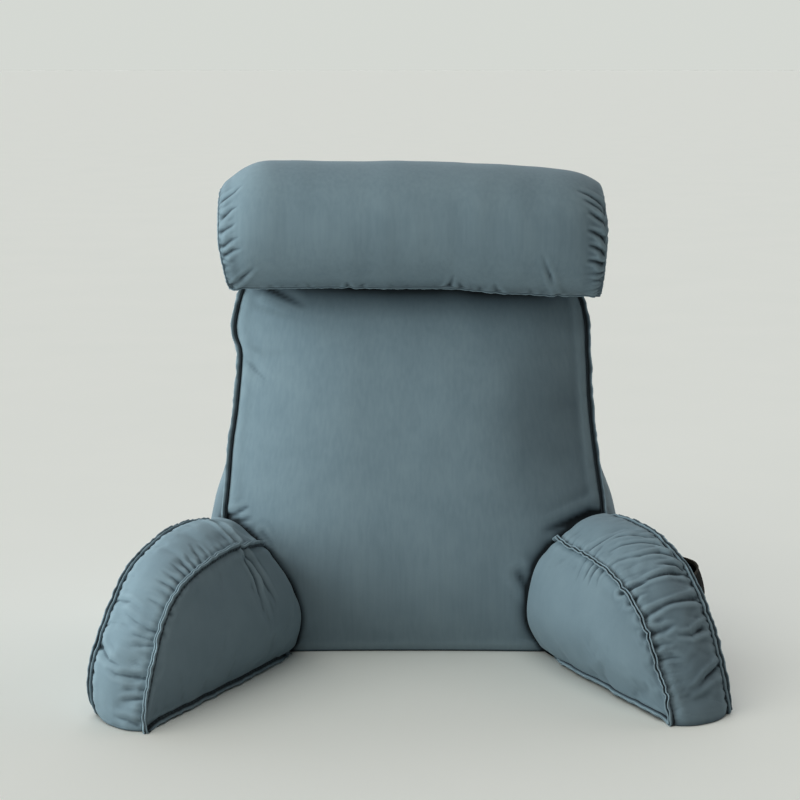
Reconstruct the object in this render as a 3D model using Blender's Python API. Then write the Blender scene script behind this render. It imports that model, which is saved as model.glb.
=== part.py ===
# Reading pillow with two arms and a head bolster.
# Metres, +Z up, +X to the right of a viewer who faces the pillow, +Y away from that viewer.
# The origin is the middle of the back cushion's flat base.

import math

import bpy
import bmesh
import numpy as np
from mathutils import Vector
from mathutils.bvhtree import BVHTree

# Cloth and seams
CLEARANCE = 0.0004          # between a seam flange and the cushion it stands on
CONTACT_CLEARANCE = 0.0006  # between cushions that press on each other
BOLSTER_CLEARANCE = 0.0013
BOLSTER_EDGE_RELIEF = 0.0045        # extra room behind the bolster for the back's seam flange
BOLSTER_RELIEF_FROM = 0.160
BOLSTER_RELIEF_RUN = 0.025
FLANGE_THICKNESS = 0.0016   # two layers of cover cloth
FLANGE_HEIGHT = 0.0065
FLANGE_END_CLEARANCE = 0.0015
FLANGE_LOW_HEIGHT = 0.030   # below this the flange turns outward along the ground
FLANGE_GROUND_LIFT = 0.0013
SEAM_ANGLE = math.radians(42)
PROBE_DIRECTION = Vector((0.31, 0.17, 0.94)).normalized()
PROBE_STEP = 0.00001
PROBE_LIMIT = 20
MERGE_DISTANCE = 0.00005
GROUND_TOLERANCE = 0.000001
FOLD_FADE = 0.45            # share of a fold's depth lost by its far end

# Back cushion
BACK_FRONT_Y = -0.140
BACK_REAR_Y = 0.140
BACK_REAR_LEAN = 0.020      # forward lean of the rear panel, metres per metre of height
BACK_FRONT_LEAN = math.tan(math.radians(17.0))
BACK_TOP = 0.550
BACK_FRONT_CROWN = 0.050
BACK_REAR_CROWN = 0.016
BACK_CROWN_POWER = 3.6
BACK_COLUMNS = 20
BACK_ROWS = 22
BACK_GUSSET_ROWS = 6
BACK_BASE_BULGE = 0.016
BACK_BASE_BOW = 0.010       # the front edge of the base bows back at its middle
BACK_BOW_HEIGHT = 0.035
BACK_REAR_POWER = 2.4
BACK_STRIP_POWER = 2.3
BACK_BASE_POWER = 4
BACK_FOLD_CROWN = 0.012     # folds fade out where the crown is lower than this
BACK_FLANGE_START = 0.012   # height of the ends of the back's seam flanges
BACK_FLANGE_TURN = 0.44     # above this the flange turns from forward to upright
BACK_FLANGE_TURN_RUN = 0.04
BACK_FLANGE_TURN_SHARE = 0.85

# Side seam of the front panel from the base up to the middle of the top corner
BACK_SIDE_SEAM = [
    # height, left x, right x
    (0.000, -0.260, 0.264),
    (0.090, -0.254, 0.260),
    (0.177, -0.247, 0.254),
    (0.215, -0.244, 0.249),
    (0.262, -0.241, 0.243),
    (0.320, -0.233, 0.238),
    (0.372, -0.229, 0.236),
    (0.388, -0.229, 0.235),
    (0.408, -0.237, 0.235),
    (0.436, -0.235, 0.232),
    (0.466, -0.227, 0.223),
    (0.500, -0.218, 0.211),
    (0.527, -0.202, 0.195),
]

# Top seam between the middles of the two top corners
BACK_TOP_SEAM = [
    # x, height
    (-0.202, 0.527),
    (-0.170, 0.543),
    (-0.100, 0.549),
    (0.000, BACK_TOP),
    (0.095, 0.548),
    (0.163, 0.542),
    (0.195, 0.527),
]

# Outward swell of the boxing strip on each side of the back
BACK_GUSSET_SWELL = [
    # height, swell
    (0.000, 0.016),
    (0.040, 0.028),
    (0.130, 0.032),
    (0.200, 0.025),
    (0.260, 0.013),
    (0.340, 0.010),
    (0.550, 0.013),
]

# Main hollows of the front panel
BACK_FOLDS = [
    # x from, height from, x to, height to, half width, depth
    (-0.232, 0.392, -0.190, 0.352, 0.016, 0.0060),
    (-0.232, 0.398, -0.180, 0.398, 0.014, 0.0030),
    (-0.195, 0.470, -0.140, 0.440, 0.016, 0.0040),
    (-0.245, 0.185, -0.190, 0.190, 0.015, 0.0050),
    (0.255, 0.180, 0.195, 0.160, 0.018, 0.0050),
    (0.150, 0.110, 0.138, 0.070, 0.020, 0.0040),
]

# Arms.  Each arm runs forward from its root at the back and splays outward.
ARM_GUSSET_WIDTH = 0.080
ARM_COLUMNS = 29
ARM_BURIED_COLUMNS = 2
ARM_CREASE_COLUMNS = 6
ARM_ROWS = 13
ARM_GUSSET_ROWS = 8
ARM_BURIED = -0.070         # start of the arm body inside the back before it is trimmed
ARM_SHOULDER = 0.84         # share of the length where the top ends and the tip begins
ARM_FOOT_ROW = 0.03         # height share of the upright first row above the ground
ARM_CROWN_POWER = 2.6
ARM_INNER_FULLNESS = 0.6    # below one, the inner panel is fullest towards the root
ARM_TIP_SWELL = 0.018       # forward swell of the tip's lower edge
ARM_GUSSET_SWELL = 0.017
ARM_STRIP_POWER = 2.4
ARM_LOW_HEIGHT = 0.030      # the boxing strip's swell fades out below this
ARM_TIP_POWER = 8
ARM_EDGE_FOLD = 0.25        # share of a fold's depth left at the strip's seams
ARM_FOOT_RISE = 0.82
ARM_FOOT_FULLNESS = 0.9
ARM_ROOT_START = -0.012     # length along the arm where the root shows
ARM_CREASE_END = 0.050      # length along the arm where the root crease ends

LEFT_ARM = {
    "side": -1.0,
    "root": (-0.167, -0.149),
    "splay": math.radians(25.6),
    "inner_crown": 0.033,
    "outer_crown": 0.024,
    # along the arm, height of the seam
    "inner_seam": [
        (ARM_BURIED, 0.120), (-0.012, 0.138), (0.010, 0.143), (0.042, 0.158), (0.101, 0.167),
        (0.138, 0.171), (0.175, 0.168), (0.215, 0.162), (0.257, 0.148), (0.288, 0.124),
        (0.308, 0.094), (0.328, 0.050), (0.341, 0.016), (0.344, 0.000),
    ],
    "outer_seam": [
        (ARM_BURIED, 0.138), (-0.020, 0.162), (0.020, 0.175), (0.065, 0.186), (0.102, 0.190),
        (0.149, 0.189), (0.196, 0.180), (0.235, 0.164), (0.266, 0.140), (0.292, 0.111),
        (0.311, 0.085), (0.325, 0.058), (0.327, 0.032), (0.320, 0.010), (0.314, 0.000),
    ],
    # along the arm, outward shift of the top seams near the root
    "root_shift": [
        (ARM_BURIED, 0.041), (-0.012, 0.041), (0.010, 0.030), (0.042, 0.006), (0.070, 0.000),
        (0.400, 0.000),
    ],
    # length along the strip, across from the inner seam, to, to, half width, depth
    "folds": [
        (0.050, -0.012, 0.022, 0.080, 0.010, 0.0150),
        (0.205, 0.000, 0.188, 0.034, 0.009, 0.0070),
        (0.248, 0.000, 0.232, 0.034, 0.009, 0.0070),
        (0.290, 0.002, 0.272, 0.076, 0.010, 0.0085),
        (0.322, 0.000, 0.318, 0.070, 0.010, 0.0090),
        (0.362, 0.006, 0.352, 0.078, 0.010, 0.0090),
        (0.400, 0.010, 0.394, 0.076, 0.010, 0.0080),
    ],
}

RIGHT_ARM = {
    "side": 1.0,
    "root": (0.180, -0.140),
    "splay": math.radians(23.0),
    "inner_crown": 0.043,
    "outer_crown": 0.024,
    "inner_seam": [
        (ARM_BURIED, 0.128), (-0.020, 0.143), (0.019, 0.155), (0.070, 0.156), (0.117, 0.154),
        (0.151, 0.150), (0.202, 0.134), (0.240, 0.112), (0.266, 0.086), (0.290, 0.053),
        (0.311, 0.024), (0.321, 0.010), (0.324, 0.000),
    ],
    "outer_seam": [
        (ARM_BURIED, 0.146), (-0.024, 0.169), (0.017, 0.180), (0.057, 0.185), (0.096, 0.184),
        (0.134, 0.181), (0.167, 0.173), (0.197, 0.161), (0.225, 0.142), (0.250, 0.119),
        (0.271, 0.093), (0.291, 0.061), (0.305, 0.029), (0.312, 0.009), (0.311, 0.000),
    ],
    "root_shift": [
        (ARM_BURIED, 0.020), (-0.020, 0.020), (0.010, 0.012), (0.040, 0.000), (0.400, 0.000),
    ],
    "folds": [
        (0.120, 0.004, 0.155, 0.072, 0.010, 0.0080),
        (0.162, 0.004, 0.192, 0.072, 0.010, 0.0085),
        (0.226, 0.000, 0.246, 0.070, 0.010, 0.0085),
        (0.262, 0.004, 0.282, 0.074, 0.010, 0.0070),
        (0.304, 0.004, 0.322, 0.070, 0.010, 0.0085),
        (0.345, 0.000, 0.372, 0.072, 0.011, 0.0090),
    ],
}

# Head bolster
BOLSTER_CENTRE = (0.0015, -0.060, 0.5575)
BOLSTER_RADIUS = 0.0820
BOLSTER_END_RADIUS = 0.0655
BOLSTER_HALF_LENGTH = 0.2500
BOLSTER_ROUNDING = 0.062    # length over which the body rounds in to the end seam
BOLSTER_END_CROWN = 0.006
BOLSTER_END_RAKE = (0.010, 0.003)   # the left and right end seams are set in at the bottom
BOLSTER_TILT = math.radians(1.6)
BOLSTER_AROUND = 48
BOLSTER_BODY_STATIONS = 12
BOLSTER_ROUNDING_STATIONS = 5
BOLSTER_GATHERS = 12
BOLSTER_GATHER_DEPTH = 0.0028
BOLSTER_END_RINGS = 3
BOLSTER_END_POWER = 2.2
BOLSTER_END_DIMPLE = 0.15   # share of the end's crown at its very middle
BOLSTER_RAKE_POWER = 3
BOLSTER_CONTACT_HEIGHT = 0.580      # below this the bolster presses on the back

# Main folds of the bolster
BOLSTER_FOLDS = [
    # along, angle up from straight ahead in degrees, to, to, half width, depth
    (-0.205, -34.0, -0.226, -66.0, 0.012, 0.0070),
    (0.172, -32.0, 0.196, -72.0, 0.010, 0.0045),
    (0.215, 42.0, 0.252, 20.0, 0.009, 0.0040),
    (0.222, 22.0, 0.252, 6.0, 0.009, 0.0040),
    (-0.090, -62.0, -0.084, -90.0, 0.012, 0.0030),
    (0.052, -60.0, 0.045, -90.0, 0.011, 0.0030),
]

# Pocket on the outer face of the right arm
POCKET_COLUMNS = (10, 24)   # grid columns of the outer panel that it spans
POCKET_ROWS = (1, 10)
POCKET_THICKNESS = 0.0016
POCKET_EDGE_CLEARANCE = 0.0005
POCKET_SLACK = 0.026        # how far the mouth stands off the arm
POCKET_BINDING_HEIGHT = 0.0030
POCKET_ROUNDNESS = 0.8
POCKET_LIFT_POWER = 2.0

# Finish: linear colour, roughness
COVER_CLOTH = ((0.118, 0.163, 0.190), 0.86)
ARM_CLOTH = ((0.122, 0.168, 0.195), 0.86)
BOLSTER_CLOTH = ((0.114, 0.158, 0.185), 0.86)
FLANGE_CLOTH = ((0.062, 0.088, 0.104), 0.90)
POCKET_CLOTH = ((0.016, 0.018, 0.022), 0.92)
BINDING_CLOTH = ((0.090, 0.078, 0.048), 0.90)


def clear_scene():
    for old in list(bpy.data.objects):
        bpy.data.objects.remove(old, do_unlink=True)


def make_material(name, finish):
    colour, roughness = finish
    material = bpy.data.materials.new(name)
    material.use_nodes = True
    shader = material.node_tree.nodes["Principled BSDF"]
    shader.inputs["Base Color"].default_value = (*colour, 1.0)
    shader.inputs["Roughness"].default_value = roughness
    shader.inputs["Metallic"].default_value = 0.0
    material.diffuse_color = (*colour, 1.0)
    return material


def smooth_curve(rows, steps=24):
    # Catmull-Rom curve through the rows, as closely spaced points
    points = np.array(rows, dtype=float)
    chord = np.linalg.norm(np.diff(points, axis=0), axis=1)
    knots = np.concatenate([[0.0], np.cumsum(chord)])
    slopes = np.gradient(points, knots, axis=0)
    out = []
    for i in range(len(points) - 1):
        span = knots[i + 1] - knots[i]
        for step in range(steps):
            t = step / steps
            h00 = 2 * t ** 3 - 3 * t ** 2 + 1
            h10 = t ** 3 - 2 * t ** 2 + t
            h01 = 3 * t ** 2 - 2 * t ** 3
            h11 = t ** 3 - t ** 2
            out.append(
                h00 * points[i] + h10 * span * slopes[i]
                + h01 * points[i + 1] + h11 * span * slopes[i + 1]
            )
    out.append(points[-1])
    return np.array(out)


def at_shares(curve, shares):
    # Points of a curve at the given shares of its length
    length = np.concatenate([[0.0], np.cumsum(np.linalg.norm(np.diff(curve, axis=0), axis=1))])
    wanted = np.asarray(shares) * length[-1]
    columns = [np.interp(wanted, length, curve[:, axis]) for axis in range(curve.shape[1])]
    return np.stack(columns, axis=1)


def filled_patch(bottom, top, left, right, shares_across, shares_up):
    # Points inside four border curves, blended from all of them
    u = np.asarray(shares_across)[:, None, None]
    v = np.asarray(shares_up)[None, :, None]
    across = (1 - u) * left[None] + u * right[None]
    up = (1 - v) * bottom[:, None] + v * top[:, None]
    corners = (
        (1 - u) * (1 - v) * bottom[0] + u * (1 - v) * bottom[-1]
        + (1 - u) * v * top[0] + u * v * top[-1]
    )
    return across + up - corners


def border_order(columns, rows):
    # Grid positions once round the border, anticlockwise from the lower left corner
    order = [(i, 0) for i in range(columns)]
    order += [(columns - 1, j) for j in range(1, rows)]
    order += [(i, rows - 1) for i in range(columns - 2, -1, -1)]
    order += [(0, j) for j in range(rows - 2, 0, -1)]
    return order


def hollow(points, folds):
    # Depth of the folds at each point of a flat pair of coordinates
    total = np.zeros(points.shape[:-1])
    for x0, y0, x1, y1, half_width, depth in folds:
        start = np.array((x0, y0))
        line = np.array((x1 - x0, y1 - y0))
        share = np.clip(((points - start) @ line) / (line @ line), 0.0, 1.0)
        nearest = start + share[..., None] * line
        distance = np.linalg.norm(points - nearest, axis=-1)
        fade = 1.0 - FOLD_FADE * share
        total += depth * fade * np.exp(-((distance / half_width) ** 2))
    return total


def dome(share, power):
    return 1.0 - np.abs(2.0 * share - 1.0) ** power


def add_object(name, vertices, faces, material):
    mesh = bpy.data.meshes.new(name)
    body = bmesh.new()
    made = [body.verts.new(Vector(v)) for v in vertices]
    for face in faces:
        body.faces.new([made[k] for k in face])
    bmesh.ops.recalc_face_normals(body, faces=body.faces)
    bmesh.ops.triangulate(body, faces=body.faces, quad_method="SHORT_EDGE")
    body.to_mesh(mesh)
    body.free()
    for polygon in mesh.polygons:
        polygon.use_smooth = True
    mesh.set_sharp_from_angle(angle=SEAM_ANGLE)
    mesh.materials.append(material)
    item = bpy.data.objects.new(name, mesh)
    bpy.context.scene.collection.objects.link(item)
    return item


def boxed_cushion(name, front, rear, strip, material):
    # Two panels joined round their borders by a boxing strip of one or more rows
    columns, rows = front.shape[0], front.shape[1]
    count = columns * rows
    order = border_order(columns, rows)
    vertices = [tuple(p) for p in front.reshape(-1, 3)]
    vertices += [tuple(p) for p in rear.reshape(-1, 3)]
    rings = [[i * rows + j for i, j in order]]
    for ring in strip:
        start = len(vertices)
        vertices += [tuple(p) for p in ring]
        rings.append(list(range(start, start + len(order))))
    rings.append([count + i * rows + j for i, j in order])
    faces = []
    for i in range(columns - 1):
        for j in range(rows - 1):
            a = i * rows + j
            b = (i + 1) * rows + j
            faces.append((a, b, b + 1, a + 1))
            faces.append((count + a, count + a + 1, count + b + 1, count + b))
    around = len(order)
    for near, far in zip(rings[:-1], rings[1:]):
        for k in range(around):
            n = (k + 1) % around
            faces.append((near[n], near[k], far[k], far[n]))
    return add_object(name, vertices, faces, material)


def outward(ring):
    # Outward direction at each point of a closed flat ring that runs anticlockwise
    ahead = np.roll(ring, -1, axis=0)
    behind = np.roll(ring, 1, axis=0)
    tangent = ahead - behind
    normal = np.stack([tangent[:, 1], -tangent[:, 0]], axis=1)
    return normal / np.linalg.norm(normal, axis=1)[:, None]


def side_x(height, column):
    table = np.array(BACK_SIDE_SEAM)
    return np.interp(height, table[:, 0], table[:, column])


def front_crown(x, z):
    # Forward swell of the front panel
    half = np.where(x < 0, -side_x(z, 1), side_x(z, 2))
    sideways = 1.0 - np.clip(np.abs(x) / half, 0.0, 1.0) ** BACK_CROWN_POWER
    return BACK_FRONT_CROWN * sideways * dome(np.clip(z / BACK_TOP, 0, 1), BACK_CROWN_POWER)


def back_front_plane(x, z):
    half = 0.5 * (side_x(0.0, 2) - side_x(0.0, 1))
    bow = BACK_BASE_BOW * np.clip(1.0 - (x / half) ** 2, 0.0, 1.0)
    return BACK_FRONT_Y + BACK_FRONT_LEAN * z + bow * np.exp(-z / BACK_BOW_HEIGHT)


def back_front_y(x, z):
    plane = back_front_plane(x, z)
    folds = hollow(np.stack([x, z], axis=-1), BACK_FOLDS)
    crown = front_crown(x, z)
    return plane - crown + folds * np.clip(crown / BACK_FOLD_CROWN, 0.0, 1.0)


def back_outline():
    # Border curves of the front panel in x and height
    side = np.array(BACK_SIDE_SEAM)
    shares = np.linspace(0.0, 1.0, BACK_ROWS + 1)
    left = at_shares(smooth_curve(side[:, [1, 0]]), shares)
    right = at_shares(smooth_curve(side[:, [2, 0]]), shares)
    columns = np.linspace(0.0, 1.0, BACK_COLUMNS + 1)
    top = at_shares(smooth_curve(BACK_TOP_SEAM), columns)
    bottom = left[0] + columns[:, None] * (right[0] - left[0])
    return filled_patch(bottom, top, left, right, columns, shares)


def build_back(material):
    flat = back_outline()
    x, z = flat[..., 0], flat[..., 1]
    front = np.stack([x, back_front_y(x, z), z], axis=-1)
    columns, rows = flat.shape[0], flat.shape[1]
    order = border_order(columns, rows)
    for i, j in order:
        front[i, j, 1] = back_front_plane(x[i, j], z[i, j])
    share_x = np.linspace(0.0, 1.0, columns)[:, None]
    share_z = np.linspace(0.0, 1.0, rows)[None, :]
    rear_swell = BACK_REAR_CROWN * dome(share_x, BACK_REAR_POWER) * dome(share_z, BACK_REAR_POWER)
    rear = np.stack([x, BACK_REAR_Y - BACK_REAR_LEAN * z + rear_swell, z], axis=-1)
    ring_front = np.array([front[i, j] for i, j in order])
    ring_rear = np.array([rear[i, j] for i, j in order])
    normal = outward(ring_front[:, [0, 2]])
    swell_table = np.array(BACK_GUSSET_SWELL)
    swell = np.interp(ring_front[:, 2], swell_table[:, 0], swell_table[:, 1])
    half = 0.5 * (side_x(0.0, 2) - side_x(0.0, 1))
    on_base = ring_front[:, 2] < GROUND_TOLERANCE
    strip = []
    for row in range(1, BACK_GUSSET_ROWS):
        share = row / BACK_GUSSET_ROWS
        ring = (1 - share) * ring_front + share * ring_rear
        rounding = dome(share, BACK_STRIP_POWER)
        lift = swell * rounding
        outer_run = (np.abs(ring[:, 0]) / half) ** BACK_BASE_POWER
        base_push = np.sign(ring[:, 0]) * BACK_BASE_BULGE * outer_run * rounding
        ring[:, 0] += np.where(on_base, base_push, normal[:, 0] * lift)
        ring[:, 2] += np.where(on_base, 0.0, normal[:, 1] * lift)
        strip.append(ring)
    item = boxed_cushion("back_cushion", front, rear, strip, material)
    return item, ring_front, ring_rear, normal


def arm_axes(arm):
    side = arm["side"]
    splay = arm["splay"]
    along = np.array((side * math.sin(splay), -math.cos(splay), 0.0))
    across = np.array((side * math.cos(splay), math.sin(splay), 0.0))
    root = np.array((arm["root"][0], arm["root"][1], 0.0))
    return root, along, across


def arm_stations(seam):
    # Shares of the seam over the top and up the tip: few where it is buried, close together at
    # the root crease, and one row just above the ground
    curve = smooth_curve(seam)
    length = np.concatenate([[0.0], np.cumsum(np.linalg.norm(np.diff(curve, axis=0), axis=1))])
    total = length[-1]
    root_share = np.interp(ARM_ROOT_START, curve[:, 0], length) / total
    crease_share = np.interp(ARM_CREASE_END, curve[:, 0], length) / total
    shoulder_share = np.interp(ARM_SHOULDER * curve[-1, 0], curve[:, 0], length) / total
    buried = np.linspace(0.0, root_share, ARM_BURIED_COLUMNS + 1)
    crease = np.linspace(root_share, crease_share, ARM_CREASE_COLUMNS + 1)[1:]
    rest_columns = ARM_COLUMNS - ARM_BURIED_COLUMNS - ARM_CREASE_COLUMNS
    rest = np.linspace(crease_share, shoulder_share, rest_columns + 1)[1:]
    foot_share = 1.0 - (1.0 - shoulder_share) * ARM_FOOT_ROW
    tip = np.linspace(foot_share, shoulder_share, ARM_ROWS)
    return curve, np.concatenate([buried, crease, rest]), np.concatenate([[1.0], tip])


def arm_patch(seam):
    # Panel of an arm in length along the arm and height
    curve, shares, tip_shares = arm_stations(seam)
    top = at_shares(curve, shares)
    tip = at_shares(curve, tip_shares)
    up = (tip_shares - tip_shares[0]) / (tip_shares[-1] - tip_shares[0])
    left = np.stack([np.full(len(tip), top[0, 0]), up * top[0, 1]], axis=1)
    run = (top[:, 0] - top[0, 0]) / (top[-1, 0] - top[0, 0])
    bottom = np.stack([top[0, 0] + run * (tip[0, 0] - top[0, 0]), np.zeros(len(run))], axis=1)
    return filled_patch(bottom, top, left, tip, run, up), up[None, :]


def foot(share):
    # Crown profile with height: upright at the ground, full above, drawn in at the top seam
    rise = np.clip((share - ARM_FOOT_ROW) / (1.0 - ARM_FOOT_ROW), 0.0, 1.0)
    return np.sin(math.pi * rise ** ARM_FOOT_RISE) ** ARM_FOOT_FULLNESS


def build_arm(name, arm, material):
    root, along, across = arm_axes(arm)
    shift_table = np.array(arm["root_shift"])
    inner, inner_up = arm_patch(arm["inner_seam"])
    outer, outer_up = arm_patch(arm["outer_seam"])
    columns, rows = inner.shape[0], inner.shape[1]
    order = border_order(columns, rows)
    share_u = np.linspace(0.0, 1.0, columns)[:, None]

    def place(flat, sideways):
        return (
            root + flat[..., 0:1] * along + sideways[..., None] * across
            + flat[..., 1:2] * np.array((0.0, 0.0, 1.0))
        )

    def height_share(flat):
        return flat[..., 1] / flat[:, -1:, 1]

    def root_shift(flat, share):
        return np.interp(flat[..., 0], shift_table[:, 0], shift_table[:, 1]) * share

    inner_share = height_share(inner)
    outer_share = height_share(outer)
    inner_side = root_shift(inner, inner_share)
    outer_side = ARM_GUSSET_WIDTH + root_shift(outer, outer_share)
    full_root = dome(share_u ** ARM_INNER_FULLNESS, ARM_CROWN_POWER)
    inner_swell = arm["inner_crown"] * full_root * foot(inner_up)
    outer_swell = arm["outer_crown"] * dome(share_u, ARM_CROWN_POWER) * foot(outer_up)
    inner_grid = place(inner, inner_side - inner_swell)
    outer_grid = place(outer, outer_side + outer_swell)
    ring_inner = np.array([inner_grid[i, j] for i, j in order])
    ring_outer = np.array([outer_grid[i, j] for i, j in order])
    flat_inner = np.array([inner[i, j] for i, j in order])
    flat_outer = np.array([outer[i, j] for i, j in order])
    normal_inner = outward(flat_inner)
    normal_outer = outward(flat_outer)
    on_base = flat_inner[:, 1] < GROUND_TOLERANCE
    upper = [k for k in range(len(order)) if order[k][1] == rows - 1 or order[k][0] == columns - 1]
    upper.sort(key=lambda k: (order[k][0], -order[k][1]))
    reach = np.zeros(len(order))
    reach[upper[0]] = flat_inner[upper[0]][0]
    for before, here in zip(upper[:-1], upper[1:]):
        reach[here] = reach[before] + np.linalg.norm(flat_inner[here] - flat_inner[before])
    strip = []
    for row in range(1, ARM_GUSSET_ROWS):
        share = row / ARM_GUSSET_ROWS
        ring = (1 - share) * ring_inner + share * ring_outer
        normal = (1 - share) * normal_inner + share * normal_outer
        place_on_strip = np.stack([reach, np.full(len(order), share * ARM_GUSSET_WIDTH)], axis=1)
        folds = hollow(place_on_strip, arm["folds"])
        rounding = dome(share, ARM_STRIP_POWER)
        fade = np.clip(dome(share, 2) + ARM_EDGE_FOLD, 0.0, 1.0)
        lift = ARM_GUSSET_SWELL * rounding - folds * fade
        low = np.clip(ring[:, 2] / ARM_LOW_HEIGHT, 0.0, 1.0)
        lift = np.where(on_base, 0.0, lift * low)
        ring += normal[:, 0:1] * lift[:, None] * along
        ring[:, 2] += normal[:, 1] * lift
        tip_run = np.clip(flat_inner[:, 0] / flat_inner[:, 0].max(), 0.0, 1.0) ** ARM_TIP_POWER
        foot_push = ARM_TIP_SWELL * rounding * tip_run * (1.0 - low)
        ring += foot_push[:, None] * along
        ring[:, 2] = np.where(on_base, 0.0, np.maximum(ring[:, 2], 0.0))
        strip.append(ring)
    item = boxed_cushion(name, inner_grid, outer_grid, strip, material)
    seams = {
        "inner": (ring_inner, normal_inner, flat_inner, -across),
        "outer": (ring_outer, normal_outer, flat_outer, across),
        "along": along,
        "order": order,
        "outer_grid": outer_grid,
    }
    return item, seams


def grown_copy(item, distance):
    # Copy of a solid with its skin moved outward, used to trim what presses on it
    mesh = item.data.copy()
    body = bmesh.new()
    body.from_mesh(mesh)
    body.normal_update()
    moved = [vert.co + vert.normal * distance for vert in body.verts]
    for vert, place in zip(body.verts, moved):
        vert.co = place
    body.to_mesh(mesh)
    body.free()
    copy = bpy.data.objects.new(item.name + "_trim", mesh)
    bpy.context.scene.collection.objects.link(copy)
    copy.hide_render = True
    copy.display_type = "WIRE"
    return copy


def trim(item, cutter):
    cut = item.modifiers.new("trim", "BOOLEAN")
    cut.operation = "DIFFERENCE"
    cut.solver = "EXACT"
    cut.object = cutter
    bpy.context.view_layer.update()
    view = item.evaluated_get(bpy.context.evaluated_depsgraph_get())
    mesh = bpy.data.meshes.new_from_object(view)
    item.modifiers.clear()
    old = item.data
    item.data = mesh
    mesh.name = item.name
    bpy.data.meshes.remove(old)
    body = bmesh.new()
    body.from_mesh(mesh)
    bmesh.ops.remove_doubles(body, verts=body.verts, dist=MERGE_DISTANCE)
    bmesh.ops.triangulate(body, faces=body.faces)
    body.to_mesh(mesh)
    body.free()
    for polygon in mesh.polygons:
        polygon.use_smooth = True
    mesh.set_sharp_from_angle(angle=SEAM_ANGLE)


def skin(item):
    body = bmesh.new()
    body.from_mesh(item.data)
    tree = BVHTree.FromBMesh(body)
    body.free()
    return tree


def gap_to(tree, point):
    # Distance to a solid's skin, negative inside it
    distance = tree.find_nearest(Vector(point))[3]
    start = Vector(point)
    crossings = 0
    while crossings < PROBE_LIMIT:
        place = tree.ray_cast(start, PROBE_DIRECTION)[0]
        if place is None:
            break
        crossings += 1
        start = place + PROBE_DIRECTION * PROBE_STEP
    return -distance if crossings % 2 else distance


def longest_run(flags):
    best = []
    run = []
    for k, good in enumerate(flags):
        if good:
            run.append(k)
        else:
            run = []
        if len(run) > len(best):
            best = list(run)
    return best


def seam_flange(name, path, direction, obstacles, material):
    # Upright double-layer strip that follows a seam and stops short of other cushions
    path = np.asarray(path)
    direction = direction / np.linalg.norm(direction, axis=1)[:, None]
    tangent = np.gradient(path, axis=0)
    tangent /= np.linalg.norm(tangent, axis=1)[:, None]
    direction -= (direction * tangent).sum(axis=1)[:, None] * tangent
    direction /= np.linalg.norm(direction, axis=1)[:, None]
    thick = np.cross(tangent, direction)
    foot_line = path + direction * CLEARANCE
    crest = path + direction * (CLEARANCE + FLANGE_HEIGHT)
    flags = []
    for low, high in zip(foot_line, crest):
        gaps = [gap_to(tree, p) for tree in obstacles for p in (low, high)]
        flags.append(min(gaps, default=1.0) > FLANGE_END_CLEARANCE)
    keep = longest_run(flags)
    half = 0.5 * FLANGE_THICKNESS
    vertices = []
    for k in keep:
        for line, sign in ((foot_line, -1), (foot_line, 1), (crest, 1), (crest, -1)):
            vertices.append(tuple(line[k] + sign * half * thick[k]))
    faces = [(3, 2, 1, 0)]
    for k in range(len(keep) - 1):
        for side in range(4):
            a = 4 * k + side
            b = 4 * k + (side + 1) % 4
            faces.append((a, b, b + 4, a + 4))
    last = 4 * (len(keep) - 1)
    faces.append((last, last + 1, last + 2, last + 3))
    return add_object(name, vertices, faces, material)


def back_flange(name, ring, normal, facing, obstacles, material):
    # From one foot of the back up its side, over the top and down the other side
    middle = 2 * BACK_COLUMNS + 1
    side_count = BACK_ROWS
    up_right = list(range(BACK_COLUMNS, BACK_COLUMNS + side_count + 1))
    over = list(range(BACK_COLUMNS + side_count + 1, middle + side_count))
    down_left = list(range(middle + side_count, len(ring))) + [0]
    chosen = [k for k in up_right + over + down_left if ring[k][2] > BACK_FLANGE_START]
    path = ring[chosen]
    out = np.zeros_like(path)
    out[:, 0] = normal[chosen][:, 0]
    out[:, 2] = normal[chosen][:, 1]
    high = np.clip((path[:, 2] - BACK_FLANGE_TURN) / BACK_FLANGE_TURN_RUN, 0.0, 1.0)
    out[:, 1] = facing * (1.0 - BACK_FLANGE_TURN_SHARE * high)
    return seam_flange(name, path, out, obstacles, material)


def arm_flange(name, seams, which, obstacles, material):
    # From the root over the top, down the tip and back along the ground to the root
    ring, normal, flat, panel = seams[which]
    along = seams["along"]
    order = seams["order"]
    columns = ARM_COLUMNS + 1
    bottom = [k for k in range(len(order)) if order[k][1] == 0]
    tip = [k for k in range(len(order)) if order[k][0] == columns - 1 and order[k][1] > 0]
    top = [k for k in range(len(order)) if order[k][1] == ARM_ROWS and order[k][0] < columns - 1]
    chosen = bottom + tip + top
    path = ring[chosen].copy()
    across = np.where(path[:, 2] < GROUND_TOLERANCE, 0.0, 1.0)
    low = np.clip(path[:, 2] / FLANGE_LOW_HEIGHT, 0.0, 1.0) * across
    out = normal[chosen][:, 0:1] * along * np.maximum(low, 0.0)[:, None]
    out[:, 2] += normal[chosen][:, 1] * low
    out += panel
    out[:, 2] = np.where(path[:, 2] < FLANGE_LOW_HEIGHT, np.maximum(out[:, 2], 0.0), out[:, 2])
    path[:, 2] = np.maximum(path[:, 2], FLANGE_GROUND_LIFT)
    return seam_flange(name, path, out, obstacles, material)


def bolster_end(share):
    # Drop of the radius over the rounded end, 0 on the body and 1 at the end seam
    return 1.0 - math.sqrt(max(0.0, 1.0 - share * share))


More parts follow.
